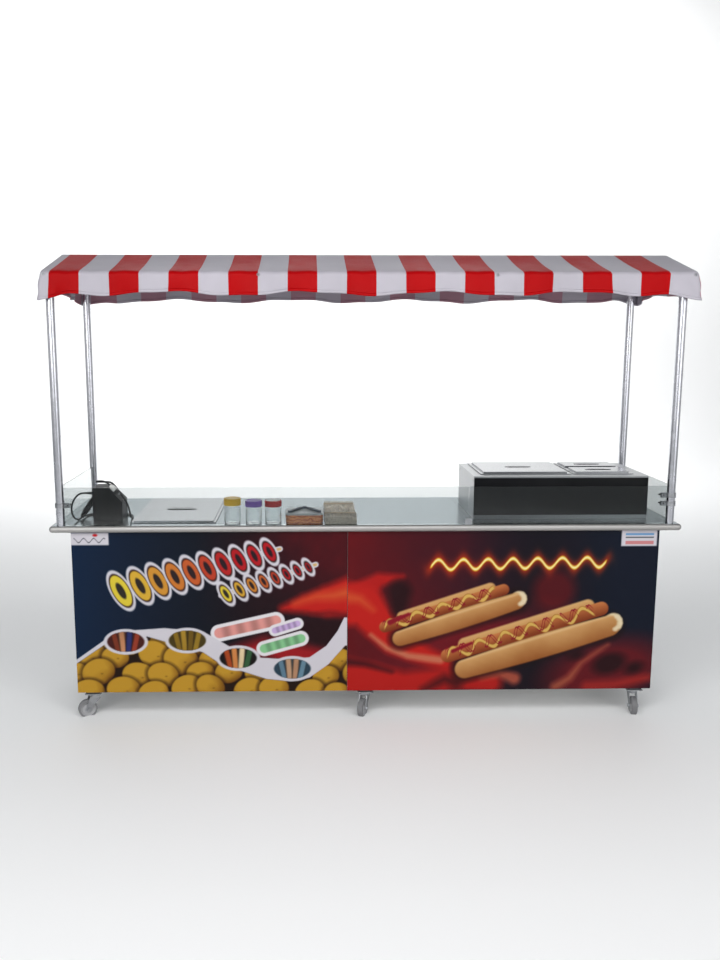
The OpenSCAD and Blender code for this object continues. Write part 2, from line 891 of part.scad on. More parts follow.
// Two-pin plug that lies on the head's cut shoulder
module mains_plug() {
    body_l = 38;
    body_w = 36;
    body_h = 20;
    color("darkgray")
        translate([head_x + head_w - head_cut, plug_y, worktop_z + head_h + 1])
            rotate([0, 45, 0]) {
                translate([0, -body_w / 2, 0])
                    cube([body_l, body_w, body_h]);
                for (y = [-9.5, 9.5])
                    translate([body_l, y, body_h / 2])
                        rotate([0, 90, 0])
                            cylinder(r = 2.4, h = 18);
            }
}

// Tapered sleeve where the cord leaves the head
module strain_relief() {
    color("black")
        translate([head_x + 8, relief_y, relief_z])
            rotate([0, -90, 0]) {
                cylinder(r = 4.9, h = 8);
                translate([0, 0, 8])
                    cylinder(r1 = 7.5, r2 = 5.2, h = relief_l);
            }
}

// ---------------------------------------------------------------- small goods

// Screw-top jar, as a closed body with its lid
module jar(index) {
    place = jars[index];
    body_h = place[1] - place[2];
    r = jar_dia / 2;
    translate([place[0], jar_y, worktop_z + 0.3]) {
        color([0.85, 0.88, 0.88, 0.6])
            cylinder(r = r - 1.5, h = body_h);
        color(place[3])
            translate([0, 0, body_h + weld_gap])
                cylinder(r = r, h = place[2]);
    }
}

// Closed tray of utensils with a pair of tongs on it
module utensil_tray() {
    translate([tray_x, tray_y, worktop_z + 0.3]) {
        color("peru")
            translate([-tray_w / 2, 0, 0])
                cube([tray_w, tray_d, tray_h]);
        color([0.2, 0.22, 0.24])
            for (side = [-1, 1])
                translate([side * 7, 120, tray_h + weld_gap])
                    rotate([0, 0, side * 32])
                        translate([-6, -130, 0])
                            cube([12, 130, 10]);
    }
}

// Bundle of wooden skewers
module skewer_pack() {
    color("burlywood")
        box([pack_x - pack_w / 2, pack_y, worktop_z + 0.3],
            [pack_x + pack_w / 2, pack_y + pack_d, worktop_z + pack_h]);
}

// ---------------------------------------------------------------- nodes

base_frame();
uprights();
top_frame();
floor_panel();
shelf();
side_panel(-1);  // side_panel_left
side_panel(1);  // side_panel_right
print_panel(-cabinet_w / 2, panel_joint_x - 1);  // print_panel_left
print_panel(panel_joint_x + 1, cabinet_w / 2);  // print_panel_right
door(-frame_x + tube + 2, door_outer_y, -1);  // door_left
door(frame_x - tube - 2 - door_w, door_inner_y, 1);  // door_right
door_tracks();
worktop();
posts();
post_spigots();
canopy_frame();
canopy_cover();
glass_front();
glass_sides();
glass_fittings();
wing_knob(0);  // wing_knob_1
wing_knob(1);  // wing_knob_2
wing_knob(2);  // wing_knob_3
caster_plates();
for (i = [0:5]) {
    caster_fork(i);
    caster_wheel(i);
}
bain_housing();
bain_front();
bain_well();
for (i = [0:2]) {
    bain_pan(i);
    bain_lid(i);
    jar(i);
}
bain_knob();
bain_heater();
fryer_tank();
fryer_lid();
fryer_head();
fryer_knob();
mains_cord();
cord_coil();
mains_plug();
strain_relief();
utensil_tray();
skewer_pack();
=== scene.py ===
"""Looks of the push vending cart: striped canopy, printed panels, steel, glass, goods and mains cord."""

import json
import math

import bmesh
import bpy
import numpy as np
from mathutils import Matrix, Vector


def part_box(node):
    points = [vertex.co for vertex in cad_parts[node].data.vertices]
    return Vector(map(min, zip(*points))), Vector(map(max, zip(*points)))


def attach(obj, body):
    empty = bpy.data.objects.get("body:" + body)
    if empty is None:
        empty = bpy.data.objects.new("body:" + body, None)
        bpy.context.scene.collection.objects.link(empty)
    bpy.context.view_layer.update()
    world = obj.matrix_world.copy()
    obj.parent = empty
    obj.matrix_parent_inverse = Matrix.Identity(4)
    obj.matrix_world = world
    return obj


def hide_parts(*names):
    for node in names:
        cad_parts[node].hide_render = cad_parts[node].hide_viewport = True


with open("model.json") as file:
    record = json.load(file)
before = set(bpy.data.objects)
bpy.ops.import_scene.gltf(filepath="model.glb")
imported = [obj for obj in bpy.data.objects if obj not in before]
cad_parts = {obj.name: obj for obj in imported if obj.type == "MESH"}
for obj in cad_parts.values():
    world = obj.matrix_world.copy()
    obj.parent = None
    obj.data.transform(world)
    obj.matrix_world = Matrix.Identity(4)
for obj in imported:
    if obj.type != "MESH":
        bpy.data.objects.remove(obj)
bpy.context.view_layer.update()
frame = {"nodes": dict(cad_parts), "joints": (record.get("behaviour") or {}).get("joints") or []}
scene = bpy.context.scene
nodes = frame["nodes"]
joints = {j["name"]: j for j in frame["joints"]}
rng = np.random.default_rng(11)
TAU = 2 * math.pi


# ---- mesh helpers

def make_object(name, data, body=None):
    """A new object in the scene. With a body it is a piece of the cart."""
    obj = bpy.data.objects.new(name, data)
    scene.collection.objects.link(obj)
    if body:
        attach(obj, body)
    return obj


def make_piece(name, bm, body, material, smooth=False):
    """One named piece of the cart, made of a bmesh, riding on a body."""
    mesh = bpy.data.meshes.new(name)
    bm.to_mesh(mesh)
    bm.free()
    for one in material if isinstance(material, list) else [material]:
        mesh.materials.append(one)
    for polygon in mesh.polygons:
        polygon.use_smooth = smooth
    return make_object(name, mesh, body)


def facing(normal):
    """Rotation that turns local Z into a direction."""
    return Vector(normal).to_track_quat("Z", "Y").to_matrix().to_4x4()


def add_box(bm, low, high, material_index=0, matrix=Matrix.Identity(4)):
    """A box between two corners, optionally placed by a matrix."""
    low, high = Vector(low), Vector(high)
    middle = Matrix.Translation((low + high) / 2)
    size = Matrix.Diagonal((*(high - low), 1))
    made = bmesh.ops.create_cube(bm, size=1, matrix=matrix @ middle @ size)
    for face in {f for v in made["verts"] for f in v.link_faces}:
        face.material_index = material_index


def add_loft(bm, rings, material_of=None):
    """Faces between neighbouring closed rings of vertices. A ring of one vertex closes the form."""
    for i, (lower, upper) in enumerate(zip(rings, rings[1:])):
        sides = max(len(lower), len(upper))
        for k in range(sides):
            n = (k + 1) % sides
            corners = [(lower, k), (lower, n), (upper, n), (upper, k)]
            unique = list(dict.fromkeys(ring[place % len(ring)] for ring, place in corners))
            if len(unique) > 2:
                face = bm.faces.new(unique)
                face.material_index = material_of(i) if material_of else 0


def add_lathe(bm, profile, matrix=Matrix.Identity(4), sides=32, material_of=None):
    """A surface turned about local Z from (radius, height) points. A radius of 0 closes it."""
    rings = []
    for radius, height in profile:
        ring = []
        for k in range(sides if radius else 1):
            a = TAU * k / sides
            ring.append(bm.verts.new(matrix @ Vector((radius * math.cos(a), radius * math.sin(a), height))))
        rings.append(ring)
    add_loft(bm, rings, material_of)


def oblong(half_x, half_y, power, count, shift=0.0):
    """Points of a rounded rectangle round the origin. The lower the power, the squarer it is."""
    points = []
    for k in range(count):
        a = TAU * (k + shift) / count
        x, y = (math.copysign(abs(part) ** power, part) for part in (math.cos(a), math.sin(a)))
        points.append((half_x * x, half_y * y))
    return points


def add_rod(bm, start, end, radius, sides=8, material_index=0):
    """A round rod between two points."""
    start, end = Vector(start), Vector(end)
    along = end - start
    place = Matrix.Translation((start + end) / 2) @ facing(along)
    made = bmesh.ops.create_cone(bm, cap_ends=True, segments=sides, radius1=radius, radius2=radius,
                                 depth=along.length, matrix=place)
    for face in {f for v in made["verts"] for f in v.link_faces}:
        face.material_index = material_index


def add_ring(bm, centre, normal, radius, thickness, major=24, minor=8):
    """A torus round a point."""
    place = Matrix.Translation(Vector(centre)) @ facing(normal)
    rings = []
    for i in range(major):
        a = TAU * i / major
        ring = []
        for k in range(minor):
            b = TAU * k / minor
            r = radius + thickness * math.cos(b)
            point = Vector((r * math.cos(a), r * math.sin(a), thickness * math.sin(b)))
            ring.append(bm.verts.new(place @ point))
        rings.append(ring)
    for i in range(major):
        for k in range(minor):
            n, m = (i + 1) % major, (k + 1) % minor
            bm.faces.new([rings[i][k], rings[n][k], rings[n][m], rings[i][m]])


def add_screw(bm, centre, normal, radius, height=0.002):
    """A pan-head screw with a cross recess, standing on a surface."""
    place = Matrix.Translation(Vector(centre)) @ facing(normal)
    head = [(radius, 0), (radius, height * 0.4), (radius * 0.7, height * 0.85), (0, height)]
    add_lathe(bm, head, place, 14)
    for x, y in ((radius * 0.9, radius * 0.2), (radius * 0.2, radius * 0.9)):
        add_box(bm, (-x / 2, -y / 2, height * 0.9), (x / 2, y / 2, height * 1.05), 0, place)


def bevelled(obj, width, segments=2):
    """Softens an object's sharp edges."""
    modifier = obj.modifiers.new("soft_edges", "BEVEL")
    modifier.width = width
    modifier.segments = segments
    modifier.limit_method = "ANGLE"
    modifier.angle_limit = math.radians(40)
    return obj


# ---- material helpers

class Surface:
    """A Principled material whose procedural nodes are added one call at a time."""

    def __init__(self, name, **sockets):
        self.material = bpy.data.materials.new(name)
        self.material.use_nodes = True
        self.tree = self.material.node_tree
        self.shader = self.tree.nodes["Principled BSDF"]
        self.place = self.tree.nodes.new("ShaderNodeTexCoord").outputs["Object"]
        for socket, value in sockets.items():
            self.shader.inputs[socket.replace("_", " ")].default_value = value

    def node(self, kind, inputs=(), **settings):
        """A new node, its inputs linked or set."""
        made = self.tree.nodes.new("ShaderNode" + kind)
        for key, value in settings.items():
            setattr(made, key, value)
        for key, value in dict(inputs).items():
            if isinstance(value, bpy.types.NodeSocket):
                self.tree.links.new(value, made.inputs[key])
            else:
                made.inputs[key].default_value = value
        return made

    def stretched(self, scale):
        """Object coordinates times a scale on each axis."""
        return self.node("Mapping", {"Vector": self.place, "Scale": scale}).outputs["Vector"]

    def noise(self, scale, detail=3.0, stretch=(1, 1, 1), roughness=0.55):
        """Soft noise about the size of 1 / scale."""
        made = self.node("TexNoise", {"Vector": self.stretched(stretch), "Scale": scale, "Detail": detail,
                                      "Roughness": roughness})
        return made.outputs["Fac"]

    def math(self, operation, a, b=0.5):
        """A sum of two values, or another operation on them."""
        return self.node("Math", {0: a, 1: b}, operation=operation).outputs[0]

    def span(self, fac, low, high, from_low=0.0, from_high=1.0):
        """A value moved from one range into another."""
        made = self.node("MapRange", {"Value": fac, "From Min": from_low, "From Max": from_high,
                                      "To Min": low, "To Max": high})
        return made.outputs["Result"]

    def mix(self, fac, a, b):
        """A colour between two. The Mix node's colour sockets are inputs 6 and 7 and output 2."""
        return self.node("Mix", {0: fac, 6: a, 7: b}, data_type="RGBA").outputs[2]

    def drive(self, socket, source):
        """Links a value to one of the shader's sockets."""
        self.tree.links.new(source, self.shader.inputs[socket])

    def bump(self, height, strength, distance):
        """Gives the shader a bump from a height."""
        made = self.node("Bump", {"Height": height, "Strength": strength, "Distance": distance})
        self.tree.links.new(made.outputs["Normal"], self.shader.inputs["Normal"])


def rgb(r, g, b):
    """Linear colour with alpha from 0-255 sRGB numbers."""
    def linear(c):
        c /= 255
        return c / 12.92 if c <= 0.04045 else ((c + 0.055) / 1.055) ** 2.4
    return (linear(r), linear(g), linear(b), 1)


def brushed_metal(name, colour, roughness, grain=(1.5, 160, 160), dirt=0.12):
    """Sheet steel with fine brushing lines, faint smears and small scratches."""
    s = Surface(name, Metallic=1.0)
    lines = s.noise(9, 2, grain)
    smear = s.noise(2.2, 4)
    dark = tuple(c * (1 - dirt) for c in colour[:3]) + (1,)
    s.drive("Base Color", s.mix(smear, dark, colour))
    rough = s.math("ADD", s.span(lines, roughness - 0.07, roughness + 0.07), s.span(smear, -0.05, 0.08))
    s.drive("Roughness", rough)
    s.bump(lines, 0.12, 0.0004)
    return s.material


def worktop_steel():
    """Brushed steel whose top is painted darker and bluer than the duller rolled edge below it: a painted
    reflection and glass tint on the top, painted light on the lighter grey edge.
    """
    s = Surface("worktop_steel", Metallic=1.0)
    height = s.node("SeparateXYZ", {"Vector": s.place}).outputs["Z"]
    flat = s.math("GREATER_THAN", height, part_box("worktop")[1].z - 0.0003)
    lines = s.noise(9, 2, (1.2, 220, 220))
    smear = s.noise(2.2, 4)
    # painted reflection: the top's dark teal stands for the green glass and the dark room mirrored in the
    # steel; the edge's light grey is painted light
    top = s.mix(smear, rgb(92, 108, 114), rgb(114, 130, 136))
    edge = s.mix(smear, rgb(166, 164, 162), rgb(184, 182, 180))
    s.drive("Base Color", s.mix(flat, edge, top))
    s.drive("Roughness", s.math("ADD", s.span(flat, 0.55, 0.20), s.span(lines, -0.06, 0.07)))
    s.bump(lines, 0.12, 0.0004)
    return s.material


def galvanised_metal(name, colour, roughness=0.42, spangle_tone=0.72):
    """Zinc-coated steel with a cloudy spangle, its darker crystals a share of the colour."""
    s = Surface(name, Metallic=1.0)
    spangle = s.node("TexVoronoi", {"Vector": s.place, "Scale": 55.0}).outputs["Color"]
    patches = s.node("SeparateColor", {"Color": spangle}).outputs[0]
    dark = tuple(c * spangle_tone for c in colour[:3]) + (1,)
    s.drive("Base Color", s.mix(s.span(patches, 0.1, 1.0), dark, colour))
    s.drive("Roughness", s.span(s.noise(14), roughness - 0.12, roughness + 0.14))
    s.bump(s.noise(120, 2), 0.1, 0.0003)
    return s.material


def coated_metal(name, colour, roughness, grain=420.0, gloss=0.5):
    """Powder coat with a fine orange peel and faint handling marks."""
    s = Surface(name, Coat_Weight=0.05, Coat_Roughness=0.3, Specular_IOR_Level=gloss)
    marks = s.noise(3.5, 5)
    light = tuple(min(1, c * 1.18 + 0.004) for c in colour[:3]) + (1,)
    s.drive("Base Color", s.mix(s.span(marks, 0, 1, 0.3, 0.8), colour, light))
    s.drive("Roughness", s.span(marks, roughness - 0.08, roughness + 0.12))
    s.bump(s.noise(grain, 2), 0.18, 0.0004)
    return s.material


def moulded_plastic(name, colour, roughness, grain=900.0):
    """Moulded plastic or rubber with a fine eroded texture."""
    s = Surface(name)
    wear = s.noise(26, 4)
    light = tuple(min(1, c * 1.35 + 0.006) for c in colour[:3]) + (1,)
    s.drive("Base Color", s.mix(s.span(wear, 0, 0.8, 0.35, 0.8), colour, light))
    s.drive("Roughness", s.span(wear, roughness - 0.06, roughness + 0.14))
    s.bump(s.noise(grain, 2), 0.25, 0.0003)
    return s.material


def clear_glass(name, colour, roughness=0.02):
    """Clear glass with faint wiping marks."""
    s = Surface(name, Transmission_Weight=1.0, IOR=1.46)
    s.shader.inputs["Base Color"].default_value = colour
    s.drive("Roughness", s.span(s.noise(5, 5, (1, 1, 2.5)), roughness, roughness + 0.05, 0.4, 0.75))
    return s.material


def print_film(name):
    """Laminated print: its picture is painted on the mesh, its gloss and waviness come from noise."""
    s = Surface(name, Coat_Weight=0.02, Coat_Roughness=0.2, Specular_IOR_Level=0.12)
    picture = s.node("VertexColor", layer_name="picture").outputs["Color"]
    s.drive("Base Color", picture)
    s.drive("Roughness", s.span(s.noise(5, 4), 0.32, 0.46))
    s.bump(s.noise(1.6, 2, (1, 1, 3)), 0.12, 0.004)
    return s.material


def striped_fabric(name, reds, whites):
    """PVC-coated cloth striped by the UV map, with a plain weave, creases and grey traffic marks."""
    s = Surface(name, Sheen_Weight=0.02, Sheen_Roughness=0.4, Specular_IOR_Level=0.09)
    run = s.node("UVMap").outputs["UV"]
    count = s.math("FLOOR", s.node("SeparateXYZ", {"Vector": run}).outputs["X"])
    odd = s.math("FLOORED_MODULO", count, 2.0)
    cloud = s.noise(3.0, 4)
    s.drive("Base Color", s.mix(odd, s.mix(cloud, *reds), s.mix(cloud, *whites)))
    s.drive("Roughness", s.span(s.noise(8, 4), 0.36, 0.56))
    threads = {"Vector": s.place, "Scale": 260.0}
    warp = s.node("TexWave", threads, bands_direction="X").outputs["Fac"]
    weft = s.node("TexWave", threads, bands_direction="Z").outputs["Fac"]
    weave = s.math("MULTIPLY", s.math("MULTIPLY", warp, weft), 0.12)
    crease = s.noise(6, 5, (1, 1.5, 1.5), 0.6)
    s.bump(s.math("ADD", weave, crease), 0.26, 0.007)
    return s.material


def wood_grain(name, colour):
    """Pale birch with streaks along the sticks and small end-to-end colour changes."""
    s = Surface(name)
    streak = s.span(s.noise(40, 4, (7, 0.25, 7)), 0, 1, 0.34, 0.62)
    dark = tuple(c * 0.50 for c in colour[:3]) + (1,)
    s.drive("Base Color", s.mix(streak, dark, colour))
    s.drive("Roughness", s.span(streak, 0.5, 0.75))
    s.bump(s.noise(240, 3, (1, 0.1, 1)), 0.3, 0.0006)
    return s.material


STAINLESS = brushed_metal("stainless", rgb(160, 162, 164), 0.30)
STAINLESS_DEEP = brushed_metal("stainless_deep", rgb(172, 175, 178), 0.26, (160, 1.5, 160))
LID_STEEL = brushed_metal("lid_steel", rgb(146, 148, 151), 0.19, (90, 2, 90), 0.22)
WORKTOP = worktop_steel()
POST_STEEL = galvanised_metal("post_zinc", rgb(212, 213, 220), 0.24, 0.90)
ZINC = galvanised_metal("zinc", rgb(172, 174, 178), 0.40)
TRACK = galvanised_metal("track_zinc", rgb(160, 162, 165), 0.45)
FRAME_COAT = coated_metal("frame_coat", rgb(62, 64, 67), 0.5)
WHITE_COAT = coated_metal("white_coat", rgb(214, 214, 212), 0.38)
BLACK_COAT = coated_metal("black_coat", rgb(9, 10, 13), 0.34, 300.0, 0.12)
HEAD_COAT = coated_metal("head_coat", rgb(8, 9, 10), 0.40, 260.0, 0.10)
BLACK_PLASTIC = moulded_plastic("black_plastic", rgb(22, 22, 24), 0.45)
GREY_PLASTIC = moulded_plastic("grey_plastic", rgb(196, 196, 194), 0.38)
CORD_RUBBER = moulded_plastic("cord_rubber", rgb(18, 19, 21), 0.5)
TYRE_RUBBER = moulded_plastic("tyre_rubber", rgb(112, 112, 114), 0.55)
HUB_PLASTIC = moulded_plastic("hub_plastic", rgb(150, 150, 152), 0.42)
GUARD_GLASS = clear_glass("guard_glass", (0.70, 0.725, 0.725, 1))
JAR_GLASS = clear_glass("jar_glass", (0.95, 0.97, 0.97, 1))


def coat_node(node, material):
    """Gives a CAD node its material."""
    if not node.material_slots:
        node.data.materials.append(material)
    for slot in node.material_slots:
        slot.material = material


# ---- camera

def make_camera():
    """The photograph's eye: 1.64 m high, four metres off, a little left of the middle."""
    tilt = 0.1616
    yaw = 0.0194
    data = bpy.data.cameras.new("camera")
    data.lens = 33.53
    data.sensor_width = 36
    data.shift_x = 0.0361
    scene.camera = make_object("camera", data)
    scene.camera.location = (-0.2455, -3.9626, 1.6449)
    scene.camera.rotation_euler = (math.pi / 2 - tilt, 0, -yaw)


# ---- cord

CORD_R = 0.004
COIL_LEAN = math.radians(58)
COIL_UP = Vector((math.cos(COIL_LEAN), 0, math.sin(COIL_LEAN)))
COIL_TURNS = 3
# the cord's route in millimetres, before its coil and after it
ROUTE_OUT = [
    (-1190, -180, 975), (-1206, -180, 975), (-1223, -184, 971), (-1236, -193, 960),
    (-1244, -206, 945), (-1247, -220, 928), (-1246, -231, 910), (-1242, -234, 892),
    (-1236, -226, 876), (-1229, -211, 867), (-1223, -193, 865), (-1219, -176, 868),
    (-1217, -163, 871),
]
ROUTE_OVER = [
    (-1217, -147, 871), (-1216, -130, 867), (-1212, -112, 864.5), (-1203, -94, 864),
    (-1190, -79, 864), (-1172, -68, 864), (-1150, -62, 864), (-1127, -60, 864),
    (-1104, -61, 864), (-1081, -65, 864), (-1059, -73, 864), (-1039, -86, 864),
    (-1022, -103, 864), (-1011, -124, 864), (-1006, -146, 864), (-1005, -167, 865),
    (-1005, -185, 870), (-1005, -199, 880), (-1006, -207, 896), (-1010, -207, 914),
    (-1018, -198, 931), (-1029, -184, 945), (-1042, -168, 957.5), (-1056, -153, 971.5),
    (-1071, -139, 986), (-1086, -129, 1001.5), (-1101, -123, 1011), (-1118, -122, 1013.5),
    (-1135, -127, 1014.5), (-1148, -139, 1016.5), (-1154, -156, 1019), (-1150, -173, 1023.5),
    (-1138, -185, 1027), (-1121, -190, 1027.5), (-1104, -191, 1022), (-1088.9, -190, 1010.1),
]


def coil_points():
    """Turns of the cord inside the coil's ring: two side by side, the third over them."""
    low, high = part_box("cord_coil")
    centre = (low + high) / 2
    along = Vector((0, 1, 0))
    normal = Vector((-math.sin(COIL_LEAN), 0, math.cos(COIL_LEAN)))
    outer = (high.y - low.y) / 2
    inner_r, outer_r = outer - 3 * CORD_R, outer - CORD_R
    # radius and sideways place of the cord at the start of each turn and at the end of the last
    seats = [(inner_r, -CORD_R), (inner_r, CORD_R), (outer_r, CORD_R), (outer_r, -CORD_R)]
    steps = 36
    points = []
    for i in range(COIL_TURNS * steps + 1):
        turn, part = divmod(i / steps, 1)
        a, b = seats[int(turn)], seats[min(int(turn) + 1, COIL_TURNS)]
        move = max(0, (part - 0.75) / 0.25)
        move = move * move * (3 - 2 * move)
        radius = a[0] + (b[0] - a[0]) * move
        side = a[1] + (b[1] - a[1]) * move
        angle = math.pi - TAU * i / steps
        point = centre + COIL_UP * radius * math.cos(angle)
        points.append(point + along * radius * math.sin(angle) + normal * side)
    return points[1:-1]


def smooth_line(points, per_span=6):
    """A Catmull-Rom curve through the points."""
    ends = [2 * points[0] - points[1], *points, 2 * points[-1] - points[-2]]
    line = []
    for p0, p1, p2, p3 in zip(ends, ends[1:], ends[2:], ends[3:]):
        for k in range(per_span):
            t = k / per_span
            line.append(0.5 * (2 * p1 + (p2 - p0) * t + (2 * p0 - 5 * p1 + 4 * p2 - p3) * t * t
                               + (3 * p1 - p0 - 3 * p2 + p3) * t ** 3))
    line.append(points[-1])
    return line


def make_cord():
    """The fryer's mains cord, from its strain relief through the coil and over the head to the plug."""
    out = [Vector(p) / 1000 for p in ROUTE_OUT]
    over = [Vector(p) / 1000 for p in ROUTE_OVER]
    line = smooth_line(out + coil_points()[::2] + over)
    curve = bpy.data.curves.new("mains_lead", "CURVE")
    curve.dimensions = "3D"
    curve.bevel_depth = CORD_R
    curve.bevel_resolution = 4
    spline = curve.splines.new("POLY")
    spline.points.add(len(line) - 1)
    for point, place in zip(spline.points, line):
        point.co = (*place, 1)
    curve.materials.append(CORD_RUBBER)
    lead = make_object("mains_lead", curve, "cart")
    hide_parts("mains_cord", "cord_coil")
    length = sum((b - a).length for a, b in zip(line, line[1:]))
    tuple(out[0])
    make_plug(over[-1])
    make_relief()
    make_tie()


def make_plug(entry):
    """Moulded two-pin plug lying on the head's shoulder: ribbed grip, black nose, steel pins."""
    down = Vector((1, 0, -1)).normalized()
    place = Matrix.Translation(entry) @ Matrix((
        (down.x, 0, -down.z, 0), (0, 1, 0, 0), (down.z, 0, down.x, 0), (0, 0, 0, 1)))
    bm = bmesh.new()
    # millimetres along the plug, and its half width and half height there
    sections = [(0, 7, 6), (4, 9, 7.5), (9, 12, 8.5), (15, 16, 9.3), (27, 17.5, 9.6), (30, 17.5, 9.6),
                (30.4, 16, 9), (38, 15.4, 8.6)]
    nose_from = 5
    rings = []
    for along, half_w, half_h in sections:
        outline = oblong(half_w, half_h, 0.6, 24)
        rings.append([bm.verts.new(place @ Vector((along / 1000, y / 1000, z / 1000))) for y, z in outline])
    add_loft(bm, rings, lambda i: int(i >= nose_from))
    bm.faces.new(rings[0][::-1])
    bm.faces.new(rings[-1]).material_index = 1
    for i in range(5):
        x = 0.010 + 0.003 * i
        for z in (-0.0095, 0.0095):
            add_box(bm, (x, -0.006, z - 0.0007), (x + 0.0014, 0.006, z + 0.0007), 0, place)
    for y in (-0.0095, 0.0095):
        root, step, tip = (place @ Vector((x, y, 0)) for x in (0.038, 0.0475, 0.0555))
        add_rod(bm, root, step, 0.0024, 12, 1)
        add_rod(bm, step, tip, 0.0023, 12, 2)
    plug = make_piece("plug_shell", bm, "cart", [GREY_PLASTIC, BLACK_PLASTIC, STAINLESS])
    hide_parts("mains_plug")
    return plug


def make_relief():
    """Tapered, ribbed rubber sleeve on the head's side."""
    low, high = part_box("strain_relief")
    face_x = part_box("fryer_head")[0].x
    length = face_x - low.x
    place = Matrix.Translation((face_x, (low.y + high.y) / 2, (low.z + high.z) / 2)) @ facing((-1, 0, 0))
    profile = [(0.0, 0.0005), (0.0074, 0.0005), (0.0074, 0.004)]
    ribs = 6
    step = (length - 0.005) / ribs
    for i in range(ribs):
        start = 0.004 + (length - 0.005) * i / ribs
        radius = 0.0072 - 0.0022 * (i + 0.5) / ribs
        groove = radius - 0.0009
        profile += [(radius, start), (radius, start + step * 0.6), (groove, start + step * 0.7),
                    (groove, start + step * 0.95)]
    profile += [(0.0048, length - 0.0004), (0.0, length - 0.0002)]
    bm = bmesh.new()
    add_lathe(bm, profile, place, 20)
    relief = make_piece("relief_sleeve", bm, "cart", CORD_RUBBER)
    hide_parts("strain_relief")
    return relief


def make_tie():
    """Twist tie that holds the coil's turns together at its top."""
    low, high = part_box("cord_coil")
    centre = (low + high) / 2
    middle = centre + COIL_UP * ((high.y - low.y) / 2 - 2 * CORD_R)
    bm = bmesh.new()
    add_ring(bm, middle, (0, 1, 0), 0.0112, 0.0012, 24, 6)
    return make_piece("coil_tie", bm, "cart", GREY_PLASTIC)


make_camera()
make_cord()


# ---- canopy

STRIPES = 22
COVER_LOW, COVER_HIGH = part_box("canopy_cover")
FIRST_EDGE = 0.035
EAVE_LEFT, EAVE_RIGHT = COVER_LOW.x + 0.0015, COVER_HIGH.x - 0.005
STRIPE = (COVER_HIGH.x - COVER_LOW.x - FIRST_EDGE) / STRIPES
# where the cloth's lines lie along the cart, their stripe numbers, and its lines from eave (-1) to eave (1)
COVER_XS = [EAVE_LEFT + (EAVE_RIGHT - EAVE_LEFT) * i / (STRIPES * 12) for i in range(STRIPES * 12 + 1)]
COVER_RUNS = [(x - COVER_LOW.x - FIRST_EDGE) / STRIPE for x in COVER_XS]
COVER_ACROSS = [k / 20 - 1 for k in range(41)]
VALANCE = 0.084
VALANCE_ROWS = 12
REAR_SAG = 0.006
CORNER_DROP = 0.026
CORNER_REACH = 0.08
# height, length and start of each wave in the hem's edge and in the hanging folds
HEM_WAVES = ((0.0080, 0.54, 1.77), (0.0025, 0.21, 0.0))
FOLD_WAVES = ((0.011, 0.43, 0.0), (0.005, 0.145, 1.3))
CLOTH_THICKNESS = 0.0012
HEM_THICKNESS = 0.0034
HEM_WIDTH = 0.012
WELD = 0.0002
FABRIC = striped_fabric("canopy_stripes", (rgb(146, 0, 3), rgb(178, 1, 6)),
                        (rgb(164, 160, 168), rgb(184, 180, 189)))
LINING = striped_fabric("canopy_lining", (rgb(150, 112, 124), rgb(166, 128, 140)),
                        (rgb(160, 154, 164), rgb(176, 170, 180)))


def waves(run, parts):
    """Sum of sine waves at a place along the cloth's edge."""
    return sum(height * math.sin(TAU * run / length + start) for height, length, start in parts)


def hem_height(run, corner):
    """Height of the valance's lower edge: gentle waves, and points hanging at the corners."""
    near = max(0, 1 - corner / 0.12)
    hang = CORNER_DROP * near * near * (3 - 2 * near)
    return COVER_LOW.z + CORNER_DROP + waves(run, HEM_WAVES) * min(1, corner / CORNER_REACH) - hang


def ripple(run, drop, corner):
    """How far the hanging cloth swings out from the frame at a share of its drop."""
    return drop ** 1.4 * (0.006 + waves(run, FOLD_WAVES)) * min(1, corner / CORNER_REACH)


def roof_point(x, across):
    """Cloth on the roof: across runs from -1 at the front eave to 1 at the rear one."""
    half = (COVER_HIGH.y - COVER_LOW.y) / 2
    rise = COVER_HIGH.z - COVER_LOW.z - CORNER_DROP - VALANCE
    slope = 1 - abs(across)
    # the cloth hangs a little between the ridge tube, the eave tubes and the three ties
    span = (x - COVER_LOW.x) / (COVER_HIGH.x - COVER_LOW.x)
    slack = 0.006 * abs(math.sin(TAU * span)) ** 0.7 * math.sin(math.pi * slope)
    pucker = 0.0012 * math.sin(TAU * x / 0.09) * (1 - slope) ** 2
    round_off = 0.006 * max(0, 1 - slope / 0.06) ** 2
    return Vector((x, across * half, COVER_HIGH.z - rise * (1 - slope) - slack + pucker - round_off))


def hanging(top, out, run, corner, reach):
    """Points from the roof's edge down to the hem. At a corner both panels give the same ones."""
    low = hem_height(run, corner) - REAR_SAG * max(0, out.y) * min(1, corner / 0.15)
    spread = Vector((math.copysign(0.014, top.x), math.copysign(0.010, top.y), 0))
    near = max(0, 1 - corner / reach)
    line = []
    for k in range(VALANCE_ROWS + 1):
        drop = k / VALANCE_ROWS
        tension = 0.004 * near * math.sin(math.pi * drop) * math.sin(TAU * (corner / reach + 0.8 * drop))
        point = top + out * (ripple(run, drop, corner) + tension) + spread * drop * near
        point.z = top.z + (low - top.z) * drop
        line.append(point)
    return line


def valances():
    """The four hanging panels, each as lines of points from roof to hem, with stripe numbers per line."""
    half = (COVER_HIGH.y - COVER_LOW.y) / 2
    for side in (-1, 1):
        grid = []
        for x in COVER_XS:
            corner = min(x - EAVE_LEFT, EAVE_RIGHT - x)
            grid.append(hanging(roof_point(x, side), Vector((0, side, 0)), x + 3 * side, corner, 0.055))
        yield grid, COVER_RUNS
    for side, x in ((-1, EAVE_LEFT), (1, EAVE_RIGHT)):
        grid = []
        for a in COVER_ACROSS:
            corner = (1 - abs(a)) * half
            grid.append(hanging(roof_point(x, a), Vector((side, 0, 0)), a * half + side, corner, 0.12))
        start = COVER_RUNS[0] if side < 0 else STRIPES
        yield grid, [start + side * (a + 1) * half / STRIPE for a in COVER_ACROSS]


